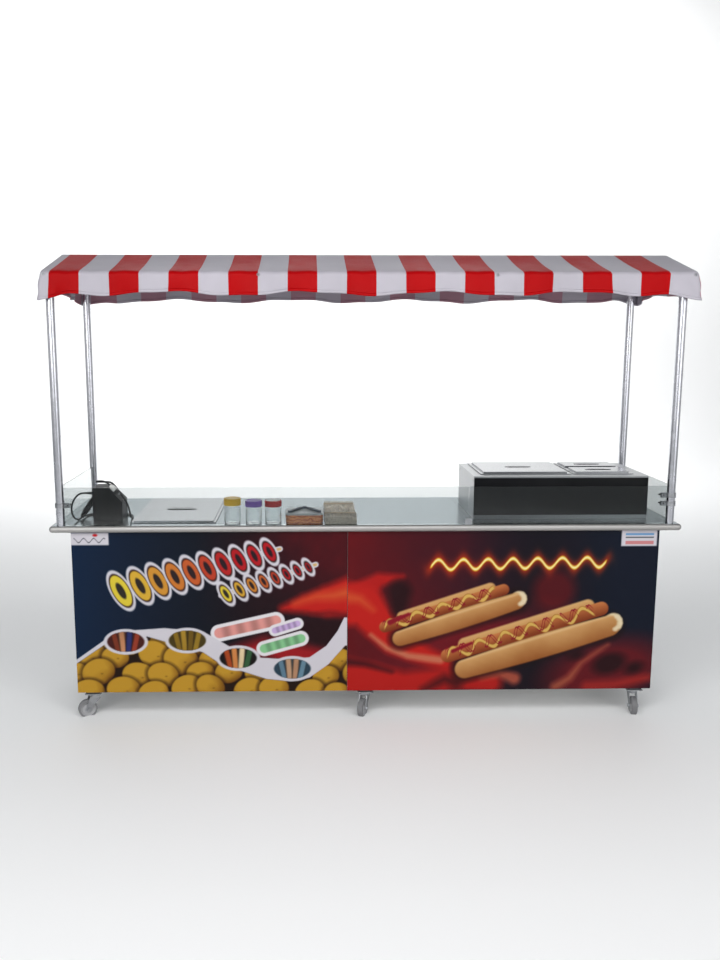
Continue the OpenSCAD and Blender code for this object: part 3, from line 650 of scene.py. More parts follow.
def cloth_grid(bm, grid, runs):
    """Faces over lines of points, with the stripe number in the UV map's first axis."""
    cut = bm.loops.layers.uv.verify()
    made = [[bm.verts.new(p) for p in line] for line in grid]
    last = len(made[0]) - 1
    for i in range(len(made) - 1):
        for j in range(last):
            ring = [(i, j), (i + 1, j), (i + 1, j + 1), (i, j + 1)]
            face = bm.faces.new([made[a][b] for a, b in ring])
            for loop, (a, b) in zip(face.loops, ring):
                loop[cut].uv = (runs[a], b / last)


def make_cloth(name, bm, thickness):
    """Welds cloth grids into one striped sheet whose inner side is the lining."""
    bmesh.ops.remove_doubles(bm, verts=bm.verts, dist=WELD)
    bmesh.ops.recalc_face_normals(bm, faces=bm.faces)
    cloth = make_piece(name, bm, "cart", [FABRIC, LINING], True)
    thick = cloth.modifiers.new("cloth_thickness", "SOLIDIFY")
    thick.thickness = thickness
    thick.offset = 0
    thick.material_offset = 1
    return cloth


def make_canopy():
    """One sheet of striped cloth over the gable frame, with a wavy valance on its four sides."""
    bm = bmesh.new()
    roof = [[roof_point(x, a) for a in COVER_ACROSS] for x in COVER_XS]
    cloth_grid(bm, roof, COVER_RUNS)
    for grid, runs in valances():
        cloth_grid(bm, grid, runs)
    cloth = make_cloth("canopy_cloth", bm, CLOTH_THICKNESS)
    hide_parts("canopy_cover")
    make_hem()
    make_eyelets()


def make_hem():
    """Folded hem round the valance's lower edge, standing proud of the cloth on both sides."""
    bm = bmesh.new()
    for grid, runs in valances():
        lines = []
        for line in grid:
            foot = line[-1]
            up = (line[-2] - foot).normalized()
            lines.append([foot + up * HEM_WIDTH, foot + up * HEM_WIDTH * 0.5, foot])
        cloth_grid(bm, lines, runs)
    return make_cloth("canopy_hem", bm, HEM_THICKNESS)


def make_eyelets():
    """Small eyelets close under the eave, each with the knot that holds the cloth to the frame."""
    bm = bmesh.new()
    z = COVER_LOW.z + CORNER_DROP + VALANCE - 0.010
    for x in (EAVE_LEFT + 0.012, -0.44, 0.51, EAVE_RIGHT - 0.012):
        for side in (-1, 1):
            place = Vector((x, side * (COVER_HIGH.y + 0.0020), z))
            add_ring(bm, place, (0, 1, 0), 0.0050, 0.0014, 20, 6)
            add_ring(bm, place + Vector((0, side * 0.0012, 0)), (1, 0, 0.4), 0.0022, 0.0012, 12, 6)
    return make_piece("canopy_eyelets", bm, "cart", ZINC)


make_canopy()


# ---- printed panels

NAVY, INK, MAROON = (6, 32, 62), (10, 10, 18), (112, 12, 22)
FLAME, EMBER, TAN, SOOT = (196, 28, 22), (216, 92, 44), (206, 130, 96), (34, 8, 14)
WHITE = (218, 214, 222)
KETCHUP = (142, 20, 36)
PANEL_PITCH = 0.003
FILM = 0.0004
INK_TONE = 0.86


class Picture:
    """Colours on a grid over a panel. Shapes are laid on in metres from its lower left, with soft edges."""

    def __init__(self, width, height):
        across = np.linspace(0, width, round(width / PANEL_PITCH) + 1)
        self.x, self.z = np.meshgrid(across, np.linspace(0, height, round(height / PANEL_PITCH) + 1))
        self.width, self.height = width, height
        self.colour = np.zeros((*self.x.shape, 3))
        self.grain = self.clouds(7, 5)

    def clouds(self, cells, octaves):
        """Smooth random field from 0 to 1 made of summed sine waves."""
        field = np.zeros_like(self.x)
        for octave in range(octaves):
            for _ in range(5):
                turn, shift = rng.uniform(0, TAU, 2)
                wave = cells * 2 ** octave / self.width * TAU * 0.4
                along = self.x * math.cos(turn) + self.z * math.sin(turn)
                field += np.sin(wave * along + shift) / 1.7 ** octave
        return (field - field.min()) / (field.max() - field.min())

    def lay(self, colour, mask):
        """Lays a colour, or a field of colours, where the mask is 1."""
        mask = np.clip(mask, 0, 1)[..., None]
        self.colour = self.colour * (1 - mask) + np.array(colour, float) * mask

    def fill(self, colour, distance, soft=0.002, share=1.0):
        """Lays a share of a colour inside a soft-edged shape."""
        self.lay(colour, self.edge(distance, soft) * share)

    def ramp(self, fac, low, high):
        """A field of colours between two."""
        fac = np.clip(fac, 0, 1)[..., None]
        return np.array(low, float) * (1 - fac) + np.array(high, float) * fac

    def edge(self, distance, soft=0.002):
        """1 inside, where the distance is negative."""
        return np.clip(0.5 - distance / (2 * soft), 0, 1)

    def oval(self, x, z, rx, rz, turn=0.0):
        """Distance from an ellipse's rim, near enough."""
        c, s = math.cos(turn), math.sin(turn)
        u = ((self.x - x) * c + (self.z - z) * s) / rx
        v = ((self.z - z) * c - (self.x - x) * s) / rz
        return (np.hypot(u, v) - 1) * min(rx, rz)

    def bar(self, start, end, radius):
        """Distance from a round-ended bar, and the place along it from 0 to 1."""
        (x0, z0), (x1, z1) = start, end
        dx, dz = x1 - x0, z1 - z0
        along = np.clip(((self.x - x0) * dx + (self.z - z0) * dz) / (dx * dx + dz * dz), 0, 1)
        return np.hypot(self.x - x0 - along * dx, self.z - z0 - along * dz) - radius, along

    def band(self, lower, upper):
        """Distance inside a band between two lines of (x, z) points."""
        low = np.interp(self.x, *zip(*lower))
        high = np.interp(self.x, *zip(*upper))
        return np.maximum(low - self.z, self.z - high)


def swirl(p, points, start_r, end_r, colour, soft=0.012, strength=1.0):
    """A soft curved stroke through the points whose radius runs from one end's to the other's."""
    nearest = np.full_like(p.x, 9.0)
    spans = len(points) - 1
    for k, (one, two) in enumerate(zip(points, points[1:])):
        line, along = p.bar(one, two, 0)
        share = (k + along) / spans
        nearest = np.minimum(nearest, line - start_r - (end_r - start_r) * share)
    p.fill(colour, nearest + 0.006 * (p.grain - 0.5), soft, strength)


def potato(p, x, z, radius, turn):
    """A golden potato lit from above left, with a dark gap round it."""
    rim = p.oval(x, z, radius, radius * 0.82, turn)
    p.fill((34, 16, 4), rim - 0.004, 0.012)
    light = 0.66 - 4.0 * (p.x - x) + 7.0 * (p.z - z) + 0.5 * (p.grain - 0.5)
    light += np.clip(rim * 22, -0.6, 0) * -0.6
    p.fill(p.ramp(light, (96, 52, 8), (198, 150, 44)), rim, 0.003)
    eye = p.oval(x + radius * 0.2, z - radius * 0.1, 0.004, 0.0025)
    p.fill((84, 52, 14), eye, 0.003, 0.6)


def oval_dish(p, x, z, ground, pieces):
    """White-rimmed oval with upright pieces of food in it."""
    p.fill(WHITE, p.oval(x, z, 0.094, 0.057))
    inside = p.edge(p.oval(x, z, 0.079, 0.044))
    p.lay(ground, inside)
    for k, colour in enumerate(pieces):
        step = (k - (len(pieces) - 1) / 2) * 0.030
        upright, _ = p.bar((x + 0.7 * step, z - 0.05), (x + 1.2 * step, z + 0.05), 0.010)
        p.fill(np.array(colour) * 0.45, upright - 0.004, 0.004, inside)
        p.fill(p.ramp(0.4 + p.grain, np.array(colour) * 0.7, colour), upright, 0.003, inside)


def spiral_potato(p, start, end, radius, discs):
    """Slices of potato along a stick, large and yellow to small and red, each outlined in white."""
    stick, _ = p.bar(start, end, 0.006)
    p.fill(WHITE, stick - 0.006)
    p.fill((214, 176, 116), stick)
    lean = math.atan2(end[1] - start[1], end[0] - start[0])
    for k in range(discs):
        t = (k + 0.3) / discs
        size = radius * (1.05 - 0.42 * t)
        x, z = start[0] + (end[0] - start[0]) * t ** 0.9, start[1] + (end[1] - start[1]) * t ** 0.9
        rim = p.oval(x, z, size * 0.46, size, lean + 0.22)
        p.fill(WHITE, rim - 0.008)
        p.fill((40, 18, 16), rim)
        tone = p.ramp(np.full_like(p.x, 1.5 * t), (232, 214, 62), (184, 26, 34))
        p.fill(tone, rim + 0.0035)
        p.fill((26, 22, 30), p.oval(x, z, size * 0.18, size * 0.48, lean + 0.22), share=0.9)


def left_ground(p):
    """Navy to maroon, with red strokes that run on into the right panel."""
    share = p.x / p.width
    p.lay(p.ramp(share * 1.6, NAVY, INK), np.ones_like(p.x))
    p.lay(p.ramp(p.z / p.height, INK, MAROON), np.clip(share * 1.9 - 0.85, 0, 1) * (0.55 + 0.45 * p.grain))
    swirl(p, [(0.68, 0.17), (0.80, 0.20), (0.93, 0.16), (1.05, 0.12)], 0.03, 0.07, (158, 22, 30), 0.03)
    swirl(p, [(0.88, 0.37), (0.98, 0.39), (1.08, 0.40), (1.20, 0.42)], 0.012, 0.10, FLAME, 0.02)
    swirl(p, [(0.93, 0.39), (1.02, 0.42), (1.10, 0.425), (1.20, 0.45)], 0.004, 0.030, EMBER, 0.022, 0.8)
    swirl(p, [(1.00, 0.34), (1.08, 0.35), (1.20, 0.33)], 0.004, 0.014, (110, 14, 20), 0.014, 0.8)
    swirl(p, [(0.99, 0.27), (1.06, 0.26), (1.20, 0.27)], 0.045, 0.062, SOOT, 0.018, 0.95)


def capsule(p, start, end, colour, radius):
    """Banded pill with a white edge, in place of lettering."""
    pill, along = p.bar(start, end, radius)
    p.fill((236, 232, 236), pill - 0.008)
    p.fill(np.array(colour) * (0.90 + 0.10 * np.cos(along * TAU * 4)[..., None]), pill + radius * 0.25)


def potato_heap(p):
    """Rows of potatoes below a white ribbon."""
    upper = [(0, 0.148), (0.124, 0.236), (0.257, 0.278), (0.377, 0.286), (0.542, 0.269), (0.651, 0.203),
             (0.778, 0.152), (0.889, 0.144), (0.993, 0.152), (1.065, 0.203), (1.113, 0.269), (1.141, 0.328)]
    lower = [(0, 0.131), (0.123, 0.215), (0.303, 0.249), (0.539, 0.177), (0.609, 0.127), (0.696, 0.094),
             (0.807, 0.056), (0.912, 0.044), (0.992, 0.060), (1.073, 0.119), (1.145, 0.203)]
    below = p.band([(0, -1), (p.width, -1)], lower)
    heap = p.edge(below, 0.003)
    ground = p.colour.copy()
    p.lay((30, 14, 6), heap)
    for row in range(4):
        for k in range(11):
            x = 0.135 * k + 0.068 * (row % 2) + rng.uniform(-0.026, 0.026) - 0.02
            z = 0.225 - 0.072 * row + rng.uniform(-0.018, 0.018)
            potato(p, x, z, rng.uniform(0.055, 0.078), rng.uniform(-0.6, 0.6))
    p.colour = ground * (1 - heap[..., None]) + p.colour * heap[..., None]
    p.fill(WHITE, p.band(lower, upper))


def label(p, x0, x1, z0, z1):
    """Lays a white sticker and gives its mask."""
    mask = p.edge(np.maximum(np.maximum(x0 - p.x, p.x - x1), np.maximum(z0 - p.z, p.z - z1)))
    p.lay(WHITE, mask)
    return mask


def paint_left(p):
    """Spiral potatoes, capsules, potato heap, four food ovals and a sticker with a wave and a dot."""
    left_ground(p)
    spiral_potato(p, (0.17, 0.442), (0.87, 0.628), 0.078, 10)
    spiral_potato(p, (0.620, 0.428), (1.020, 0.560), 0.044, 8)
    capsule(p, (0.610, 0.262), (0.850, 0.316), (232, 156, 148), 0.030)
    capsule(p, (0.846, 0.272), (0.942, 0.302), (206, 178, 226), 0.018)
    capsule(p, (0.800, 0.192), (0.956, 0.236), (140, 204, 148), 0.026)
    potato_heap(p)
    oval_dish(p, 0.212, 0.226, (70, 26, 24), ((132, 56, 34), (206, 142, 100), (44, 50, 112), (156, 60, 40)))
    oval_dish(p, 0.473, 0.230, (72, 58, 18), ((140, 108, 30), (176, 138, 44), (120, 92, 26), (164, 130, 40)))
    oval_dish(p, 0.688, 0.150, (20, 14, 14), ((176, 72, 30), (222, 140, 76), (240, 214, 170), (52, 92, 58)))
    oval_dish(p, 0.919, 0.101, (44, 66, 82),
              ((96, 128, 148), (196, 156, 124), (186, 140, 108), (104, 138, 158)))
    sticker = label(p, -0.01, 0.156, 0.648, 0.70)
    stroke = np.abs(p.z - 0.668 - 0.009 * np.sin(p.x * TAU / 0.042)) - 0.0016
    p.lay((30, 34, 44), p.edge(stroke) * sticker * (np.abs(p.x - 0.078) < 0.066))
    p.fill((206, 24, 34), p.oval(0.100, 0.690, 0.010, 0.006), share=sticker)


def dressed_sausage(p, start, end, radius, ux, uz):
    """Sausage on the bun's rear half, under mustard and ketchup. (ux, uz) is its heading."""
    (x0, z0), (x1, z1) = start, end
    length = math.hypot(x1 - x0, z1 - z0)
    run = (p.x - x0) * ux + (p.z - z0) * uz
    off = (p.z - z0) * ux - (p.x - x0) * uz
    lift = radius * 0.9
    back, _ = p.bar((x0 + 0.08 - uz * lift, z0 + 0.024 + ux * lift),
                    (x1 - 0.05 - uz * lift, z1 - 0.014 + ux * lift), radius * 0.95)
    p.fill(p.ramp(0.4 + 14 * (off - lift), (196, 130, 66), (232, 190, 128)), back, 0.004)
    link, _ = p.bar(start, end, radius)
    meat = p.ramp(0.5 + 0.5 * off / radius + 0.3 * (p.grain - 0.5), (128, 52, 22), (206, 124, 70))
    p.fill(meat, link, 0.003)
    wave = np.sin(run * TAU / 0.115)
    inside = np.clip((run + 0.010) / 0.01, 0, 1) * np.clip((length - 0.03 - run) / 0.01, 0, 1)
    mustard = np.abs(off - radius * (0.1 + 0.75 * wave)) - 0.0075
    p.fill((150, 88, 28), mustard - 0.002, 0.003, inside)
    p.fill((224, 182, 92), mustard, 0.0025, inside)
    for shift in (0.0, 1.1):
        sauce = np.abs(off - radius * (0.3 + 0.75 * np.sin(run * TAU / 0.062 + shift))) - 0.0032
        p.lay(KETCHUP, p.edge(sauce, 0.002) * inside * (wave < 0.5))
    swirl(p, [(x0 + 0.02, z0 + 0.020), (x0 + 0.10, z0 + 0.055)], 0.010, 0.006, KETCHUP, 0.004)


def front_bun(p, start, end, radius, ux, uz):
    """Front half of a bun: golden crust with a pale upper edge, and crumbs at its cut end."""
    depth = ((p.z - start[1]) * ux - (p.x - start[0]) * uz) / radius
    end_x, end_z = end[0] + radius * 0.35, end[1] + radius * 0.30
    p.fill((236, 214, 170), p.oval(end_x, end_z, radius * 0.80, radius * 0.86, 0.3), 0.004)
    crust = p.ramp(0.52 + 0.40 * depth + 0.30 * (p.grain - 0.5), (150, 84, 36), (226, 176, 112))
    near, along = p.bar(start, end, 0)
    body = near - radius * (0.72 + 0.34 * np.sin(np.pi * (0.12 + 0.66 * along)))
    p.fill(crust, body, 0.004)
    rim = np.clip(1 - np.abs(depth - 0.80) * 5, 0, 1) * p.edge(body, 0.004)
    p.lay((238, 204, 150), rim * 0.55)
    for k in range(5):
        a = -1.2 + 0.55 * k
        crumb = p.oval(end_x + radius * 0.55 * math.cos(a), end_z + radius * 0.62 * math.sin(a), 0.012, 0.010)
        p.fill((240, 222, 184), crumb, 0.004, 0.9)


def hot_dog(p, bun, sausage, bun_r, sausage_r):
    """Long bun with a dressed sausage in it, on a dark glow."""
    (x0, z0), (x1, z1) = sausage
    length = math.hypot(x1 - x0, z1 - z0)
    ux, uz = (x1 - x0) / length, (z1 - z0) / length
    swirl(p, bun, bun_r + 0.010, bun_r + 0.014, (24, 6, 8), 0.016, 0.8)
    dressed_sausage(p, *sausage, sausage_r, ux, uz)
    front_bun(p, *bun, bun_r, ux, uz)


def right_ground(p):
    """Dark red to navy, with tongues of fire."""
    share = p.x / p.width
    p.lay(p.ramp(share * 1.25 + 0.15 * (p.grain - 0.5), (100, 12, 20), (10, 18, 36)), np.ones_like(p.x))
    p.lay(INK, np.clip(1 - np.abs(share - 0.62) * 4, 0, 1) * 0.6)
    p.fill((122, 18, 28), p.oval(0.50, 0.22, 0.34, 0.10, 0.3), 0.05, 0.8)
    swirl(p, [(0.05, 0.43), (0.13, 0.49), (0.23, 0.505)], 0.055, 0.008, (182, 24, 22), 0.016)
    swirl(p, [(-0.03, 0.39), (0.07, 0.38), (0.13, 0.30), (0.20, 0.22), (0.30, 0.17), (0.42, 0.12)],
          0.10, 0.03, FLAME, 0.02)
    swirl(p, [(-0.02, 0.42), (0.05, 0.41), (0.11, 0.36)], 0.026, 0.006, EMBER, 0.018, 0.7)
    swirl(p, [(0.22, 0.44), (0.22, 0.36), (0.27, 0.27)], 0.050, 0.012, SOOT, 0.022, 0.9)
    swirl(p, [(0.10, 0.25), (0.17, 0.19), (0.26, 0.155), (0.40, 0.135)], 0.008, 0.018, TAN, 0.010, 0.8)
    swirl(p, [(-0.03, 0.07), (0.10, 0.05), (0.24, 0.02), (0.46, 0.05), (0.62, 0.03)],
          0.08, 0.045, FLAME, 0.024, 0.9)
    swirl(p, [(0.0, 0.13), (0.08, 0.12), (0.19, 0.085)], 0.018, 0.008, (74, 10, 18), 0.014)
    swirl(p, [(0.33, 0.0), (0.42, 0.05), (0.47, 0.03)], 0.014, 0.028, (60, 10, 16), 0.020, 0.8)
    swirl(p, [(0.58, 0.055), (0.66, 0.075), (0.72, 0.05)], 0.010, 0.026, (198, 92, 66), 0.014, 0.8)
    p.fill((126, 14, 20), p.oval(0.88, 0.443, 0.09, 0.09), 0.03, 0.6)
    p.fill((108, 18, 26), p.oval(1.12, 0.08, 0.26, 0.14, 0.2), 0.05, 0.9)
    swirl(p, [(0.90, 0.01), (0.96, 0.05), (1.01, 0.12), (1.12, 0.20)],
          0.020, 0.006, (168, 84, 60), 0.014, 0.85)
    swirl(p, [(1.04, 0.01), (1.16, 0.02), (1.30, 0.05)], 0.024, 0.014, (168, 40, 34), 0.016, 0.8)
    for x, z, reach in ((0.985, 0.155, 0.034), (1.13, 0.115, 0.072), (1.24, 0.095, 0.040)):
        p.fill(SOOT, p.oval(x, z, reach, reach * 0.62, 0.3), 0.016, 0.9)


def glowing_wave(p):
    """Plain neon wave where the title stood."""
    neon = 0.560 + 0.022 * np.sin((p.x - 0.357) * TAU / 0.105) + 0.012 * (p.x - 0.72)
    far = np.hypot(np.maximum(np.abs(p.x - 0.723) - 0.366, 0), p.z - neon)
    p.lay((206, 60, 20), np.exp(-(far / 0.030) ** 2) * 0.75)
    p.fill((255, 214, 64), far - 0.008, 0.003)
    p.fill((255, 246, 190), far - 0.003)


def paint_right(p):
    """Fire, two hot dogs, a glowing wave and a sticker with three bars."""
    right_ground(p)
    hot_dog(p, ((0.226, 0.233), (0.716, 0.394)), ((0.160, 0.285), (0.662, 0.446)), 0.040, 0.025)
    hot_dog(p, ((0.505, 0.094), (1.122, 0.283)), ((0.432, 0.155), (1.084, 0.360)), 0.050, 0.031)
    glowing_wave(p)
    sticker = label(p, 1.155, 1.306, 0.634, 0.71)
    bars = (((88, 150, 206), 0.685, 0.0055), ((60, 64, 70), 0.672, 0.0035), ((214, 120, 120), 0.650, 0.0075))
    for colour, z, height in bars:
        bar = (np.abs(p.z - z) < height) & (np.abs(p.x - 1.231) < 0.060)
        p.lay(colour, bar * sticker * 0.8)


def make_print(node, paint):
    """Printed film on a cabinet panel's front, its picture stored as a colour on each vertex."""
    low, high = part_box(node)
    picture = Picture(high.x - low.x, high.z - low.z)
    paint(picture)
    srgb = np.clip(picture.colour, 0, 255) / 255 * INK_TONE
    linear = np.where(srgb <= 0.04045, srgb / 12.92, ((srgb + 0.055) / 1.055) ** 2.4)
    up, across = picture.x.shape
    front = np.stack([low.x + picture.x, np.full_like(picture.x, low.y - FILM), low.z + picture.z], -1)
    corner = np.arange(across * up).reshape(up, across)
    quads = np.stack([corner[:-1, :-1], corner[:-1, 1:], corner[1:, 1:], corner[1:, :-1]], -1)
    mesh = bpy.data.meshes.new(node + "_sheet")
    mesh.from_pydata(front.reshape(-1, 3).tolist(), [], quads.reshape(-1, 4).tolist())
    colours = mesh.color_attributes.new("picture", "FLOAT_COLOR", "POINT")
    colours.data.foreach_set("color", np.dstack([linear, np.ones((up, across))]).astype(np.float32).ravel())
    mesh.materials.append(PRINT_FILM)
    make_object(node + "_sheet", mesh, "cart")


PRINT_FILM = print_film("print_film")
make_print("print_panel_left", paint_left)
make_print("print_panel_right", paint_right)


# ---- casters

def wheel_place(index):
    """Matrix whose local Z is a wheel's axle, at its centre."""
    joint = joints[f"roll_{index}"]
    return Matrix.Translation(Vector(joint["pos_m"])) @ facing(joint["axis"])


def make_wheel(index):
    """Grey rubber tyre on a spoked plastic hub with a steel bearing cap."""
    place = wheel_place(index)
    low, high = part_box(f"caster_wheel_{index}")
    radius = (high.z - low.z) / 2
    half = 0.0125
    groove = radius - 0.0007
    bm = bmesh.new()
    tread = [(0.031, -half + 0.0005), (0.0345, -half), (radius - 0.003, -half),
             (radius - 0.001, -half + 0.0025)]
    for k in range(4):
        z = -0.0075 + 0.005 * k
        tread += [(radius, z - 0.0019), (radius, z + 0.0015), (groove, z + 0.0020), (groove, z + 0.0028)]
    tread += [(radius - 0.001, half - 0.0025), (radius - 0.003, half), (0.0345, half), (0.031, half - 0.0005)]
    add_lathe(bm, tread, place, 48)
    rim = [(0.031, -half + 0.0005), (0.0300, -half + 0.0010), (0.0285, -half + 0.0012),
           (0.0275, -half + 0.0045), (0.014, -half + 0.0055), (0.0125, -half - 0.0008),
           (0.006, -half - 0.001)]
    mirrored = [(r, -z) for r, z in reversed(rim)]
    add_lathe(bm, [*rim, *mirrored], place, 48, lambda i: 1)
    for side in (-1, 1):
        spoke = side * 0.0045
        for k in range(6):
            turn = place @ Matrix.Rotation(TAU * k / 6, 4, "Z")
            add_box(bm, (0.0120, -0.0012, spoke - 0.0025), (0.0290, 0.0012, spoke + 0.0025), 1, turn)
        cap = [(0.0, 0.0136), (0.0085, 0.0136), (0.0105, 0.0130), (0.0112, 0.0120)]
        add_lathe(bm, [(r, side * z) for r, z in cap], place, 28, lambda i: 2)
    wheel = make_piece(f"caster_tyre_{index}", bm, f"wheel_{index}_body", [TYRE_RUBBER, HUB_PLASTIC, ZINC],
                       True)
    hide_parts(f"caster_wheel_{index}")


def make_caster_bolts():
    """Four bolts through each caster's plate."""
    bm = bmesh.new()
    head_r = 0.0042
    low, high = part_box("caster_plates")
    for index in range(1, 7):
        x, y, _ = joints[f"swivel_{index}"]["pos_m"]
        half = (high.x - low.x) / 2 - abs(x) if abs(x) > 0.1 else 0.025
        reach = max(0.015, half - 0.008)
        for dx in (-reach, reach):
            for dy in (-reach, reach):
                place = Matrix.Translation((x + dx, y + dy, high.z - 0.0059))
                bmesh.ops.create_cone(bm, cap_ends=True, segments=6, radius1=head_r, radius2=head_r,
                                      depth=0.0034, matrix=place)
    bevelled(make_piece("caster_bolts", bm, "cart", ZINC), 0.0004)


# ---- goods on the worktop

LID_COLOURS = {1: rgb(232, 186, 28), 2: rgb(118, 84, 176), 3: rgb(186, 20, 30)}


def make_jar(index):
    """Empty clear jar with a thick base and a waisted neck, and its lid."""
    low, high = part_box(f"jar_{index}")
    place = Matrix.Translation(((low.x + high.x) / 2, (low.y + high.y) / 2, low.z))
    radius = (high.x - low.x) / 2
    height = high.z - low.z
    lid_h = 0.030 if index == 1 else 0.026
    glass_h = height - lid_h
    wall = 0.0016
    outer = [(0.0, 0.0012), (radius * 0.5, 0.0012), (radius * 0.80, 0.0), (radius * 0.93, 0.0018),
             (radius - 0.0015, 0.007), (radius - 0.0015, glass_h * 0.80), (radius * 0.93, glass_h * 0.90),
             (radius * 0.86, glass_h * 0.95), (radius * 0.86, glass_h + 0.010)]
    inner = [(r - wall, max(z, 0.0045)) for r, z in reversed(outer[3:])]
    inner += [(radius * 0.7, 0.0052), (0.0, 0.0066)]
    bm = bmesh.new()
    add_lathe(bm, [*outer, *inner], place, 40)
    glass = make_piece(f"jar_body_{index}", bm, f"jar_{index}_body", JAR_GLASS)
    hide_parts(f"jar_{index}")
    make_jar_lid(index, place, radius, glass_h, height)


def make_jar_lid(index, place, radius, glass_h, height):
    """Screw lid with a knurled skirt and a raised rim. The red one's middle is white."""
    bm = bmesh.new()
    ribs = 60
    rib_steps = ribs * 4
    skirt = []
    # heights up the lid's skirt, and the depth of the knurls there
    for z, depth in ((glass_h + 0.0006, 0), (glass_h + 0.0022, 0.0008), (height - 0.0045, 0.0008),
                     (height - 0.0012, 0)):
        ring = []
        for k in range(rib_steps):
            r = radius - 0.0006 - depth * (k % 4 < 2)
            a = TAU * k / rib_steps
            ring.append(bm.verts.new(place @ Vector((r * math.cos(a), r * math.sin(a), z))))
        skirt.append(ring)
    add_loft(bm, skirt)
    bm.faces.new(skirt[0][::-1])
    top = [(radius - 0.0006, height - 0.0012), (radius - 0.003, height - 0.0002),
           (radius * 0.82, height - 0.0002), (radius * 0.79, height - 0.0012), (0.0, height - 0.0012)]
    add_lathe(bm, top, place, ribs, (lambda i: int(i >= 2)) if index == 3 else None)
    lid_colour = moulded_plastic(f"lid_colour_{index}", LID_COLOURS[index], 0.36)
    lid = make_piece(f"jar_lid_{index}", bm, f"jar_{index}_body", [lid_colour, WHITE_COAT])
    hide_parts(f"jar_{index}")


def tray_material():
    """Terracotta plastic with darker wavy streaks, as on a pressed food tray."""
    s = Surface("tray_terracotta", Coat_Weight=0.2)
    settings = {"Vector": s.place, "Scale": 22.0, "Distortion": 9.0, "Detail": 3.0, "Detail Scale": 1.6}
    streak = s.node("TexWave", settings, bands_direction="Z").outputs["Fac"]
    pale = s.mix(s.noise(30), rgb(204, 116, 52), rgb(228, 152, 88))
    s.drive("Base Color", s.mix(s.span(streak, 0, 1, 0.45, 0.95), pale, rgb(164, 78, 28)))
    s.drive("Roughness", s.span(streak, 0.32, 0.5))
    s.bump(streak, 0.4, 0.0012)
    return s.material


def make_tray():
    """Closed tray with a rolled lip and a grey lid, and the tongs lying open on it."""
    low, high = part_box("utensil_tray")
    tongs_t = 0.010
    top = high.z - tongs_t
    mid_x, mid_y = (low.x + high.x) / 2, (low.y + high.y) / 2
    bm = bmesh.new()
    # inset from the tray's box at each height; the lip starts at the third
    levels = [(0.004, low.z), (0.0025, low.z + 0.006), (0.001, top - 0.008), (0.0, top - 0.0075),
              (0.0, top - 0.004), (0.0015, top - 0.0035), (0.003, top - 0.001), (0.006, top)]
    lip_from = 2
    rings = []
    for inset, z in levels:
        outline = oblong((high.x - low.x) / 2 - inset, (high.y - low.y) / 2 - inset, 0.28, 48, 0.5)
        rings.append([bm.verts.new((mid_x + x, mid_y + y, z)) for x, y in outline])
    add_loft(bm, rings, lambda i: int(i >= lip_from))
    bm.faces.new(rings[0][::-1])
    bm.faces.new(rings[-1]).material_index = 1
    lid_grey = moulded_plastic("tray_lid_grey", rgb(150, 158, 160), 0.3)
    body = make_piece("tray_body", bm, "tray_body", [tray_material(), lid_grey])
    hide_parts("utensil_tray")
    make_tongs(Vector((mid_x, high.y - 0.030, top + 0.0045)))


def make_tongs(hinge):
    """Plastic tongs: two ribbed arms spread from a round hinge."""
    bm = bmesh.new()
    spread = math.radians(32)
    for side in (-1, 1):
        root = Matrix.Translation(hinge + Vector((side * 0.006, 0, 0)))
        turn = root @ Matrix.Rotation(side * spread, 4, "Z")
        add_box(bm, (-0.005, -0.105, -0.0030), (0.005, 0.0, 0.0028), 0, turn)
        for k in range(9):
            y = -0.098 + 0.0105 * k
            add_box(bm, (-0.006, y, -0.0042), (0.006, y + 0.0052, 0.0040), 0, turn)
        add_box(bm, (-0.006, -0.112, -0.0042), (0.006, -0.103, 0.0046), 0, turn)
    pivot = [(0, 0), (0.009, 0), (0.010, 0.002), (0.010, 0.0075), (0.008, 0.0088), (0, 0.0092)]
    add_lathe(bm, pivot, Matrix.Translation(hinge - Vector((0, 0, 0.0042))), 24)
    slate = moulded_plastic("tong_slate", rgb(66, 78, 92), 0.4)
    tongs = bevelled(make_piece("tongs", bm, "tray_body", slate), 0.0008)
    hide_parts("utensil_tray")


def make_skewers():
    """Bundle of thin wooden sticks in staggered layers, with loose ones on top."""
    low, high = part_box("skewer_pack")
    radius = 0.0017
    bm = bmesh.new()
    crossed = 0.0045
    layers = int((high.z - low.z - crossed) / (radius * 1.85))
    count = int((high.x - low.x - 0.004) / (2 * radius))
    for layer in range(layers):
        z = low.z + radius + layer * (high.z - low.z - 2 * radius - crossed) / (layers - 1)
        for k in range(count):
            x = low.x + 0.003 + radius * (1 + 2 * k + (layer % 2) * 0.8)
            skew = rng.normal(0, 0.0012)
            front = low.y + abs(rng.normal(0, 0.0025)) + 0.001
            back = high.y - abs(rng.normal(0, 0.0025)) - 0.001
            if low.x + 0.002 < x < high.x - 0.003:
                lift = rng.normal(0, 0.0004)
                start = (min(max(x + skew, low.x + radius), high.x - radius), front, z + lift)
                end = (min(max(x - skew, low.x + radius), high.x - radius), back, z - lift)
                add_rod(bm, start, end, radius, 6)
    for _ in range(90):
        turn = rng.normal(0, 0.32)
        half = rng.uniform(0.02, 0.055)
        x = rng.uniform(low.x + 0.024, high.x - 0.024)
        y = rng.uniform(low.y + 0.060, high.y - 0.060)
        z = high.z - radius - rng.uniform(0.0002, 0.0024)
        reach = Vector((min(0.02, half * math.sin(turn)), half * math.cos(turn), 0))
        add_rod(bm, Vector((x, y, z)) - reach, Vector((x, y, z)) + reach, radius, 6)
    wood = wood_grain("skewer_birch", rgb(244, 234, 216))
    sticks = make_piece("skewer_sticks", bm, "pack_body", wood)
    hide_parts("skewer_pack")


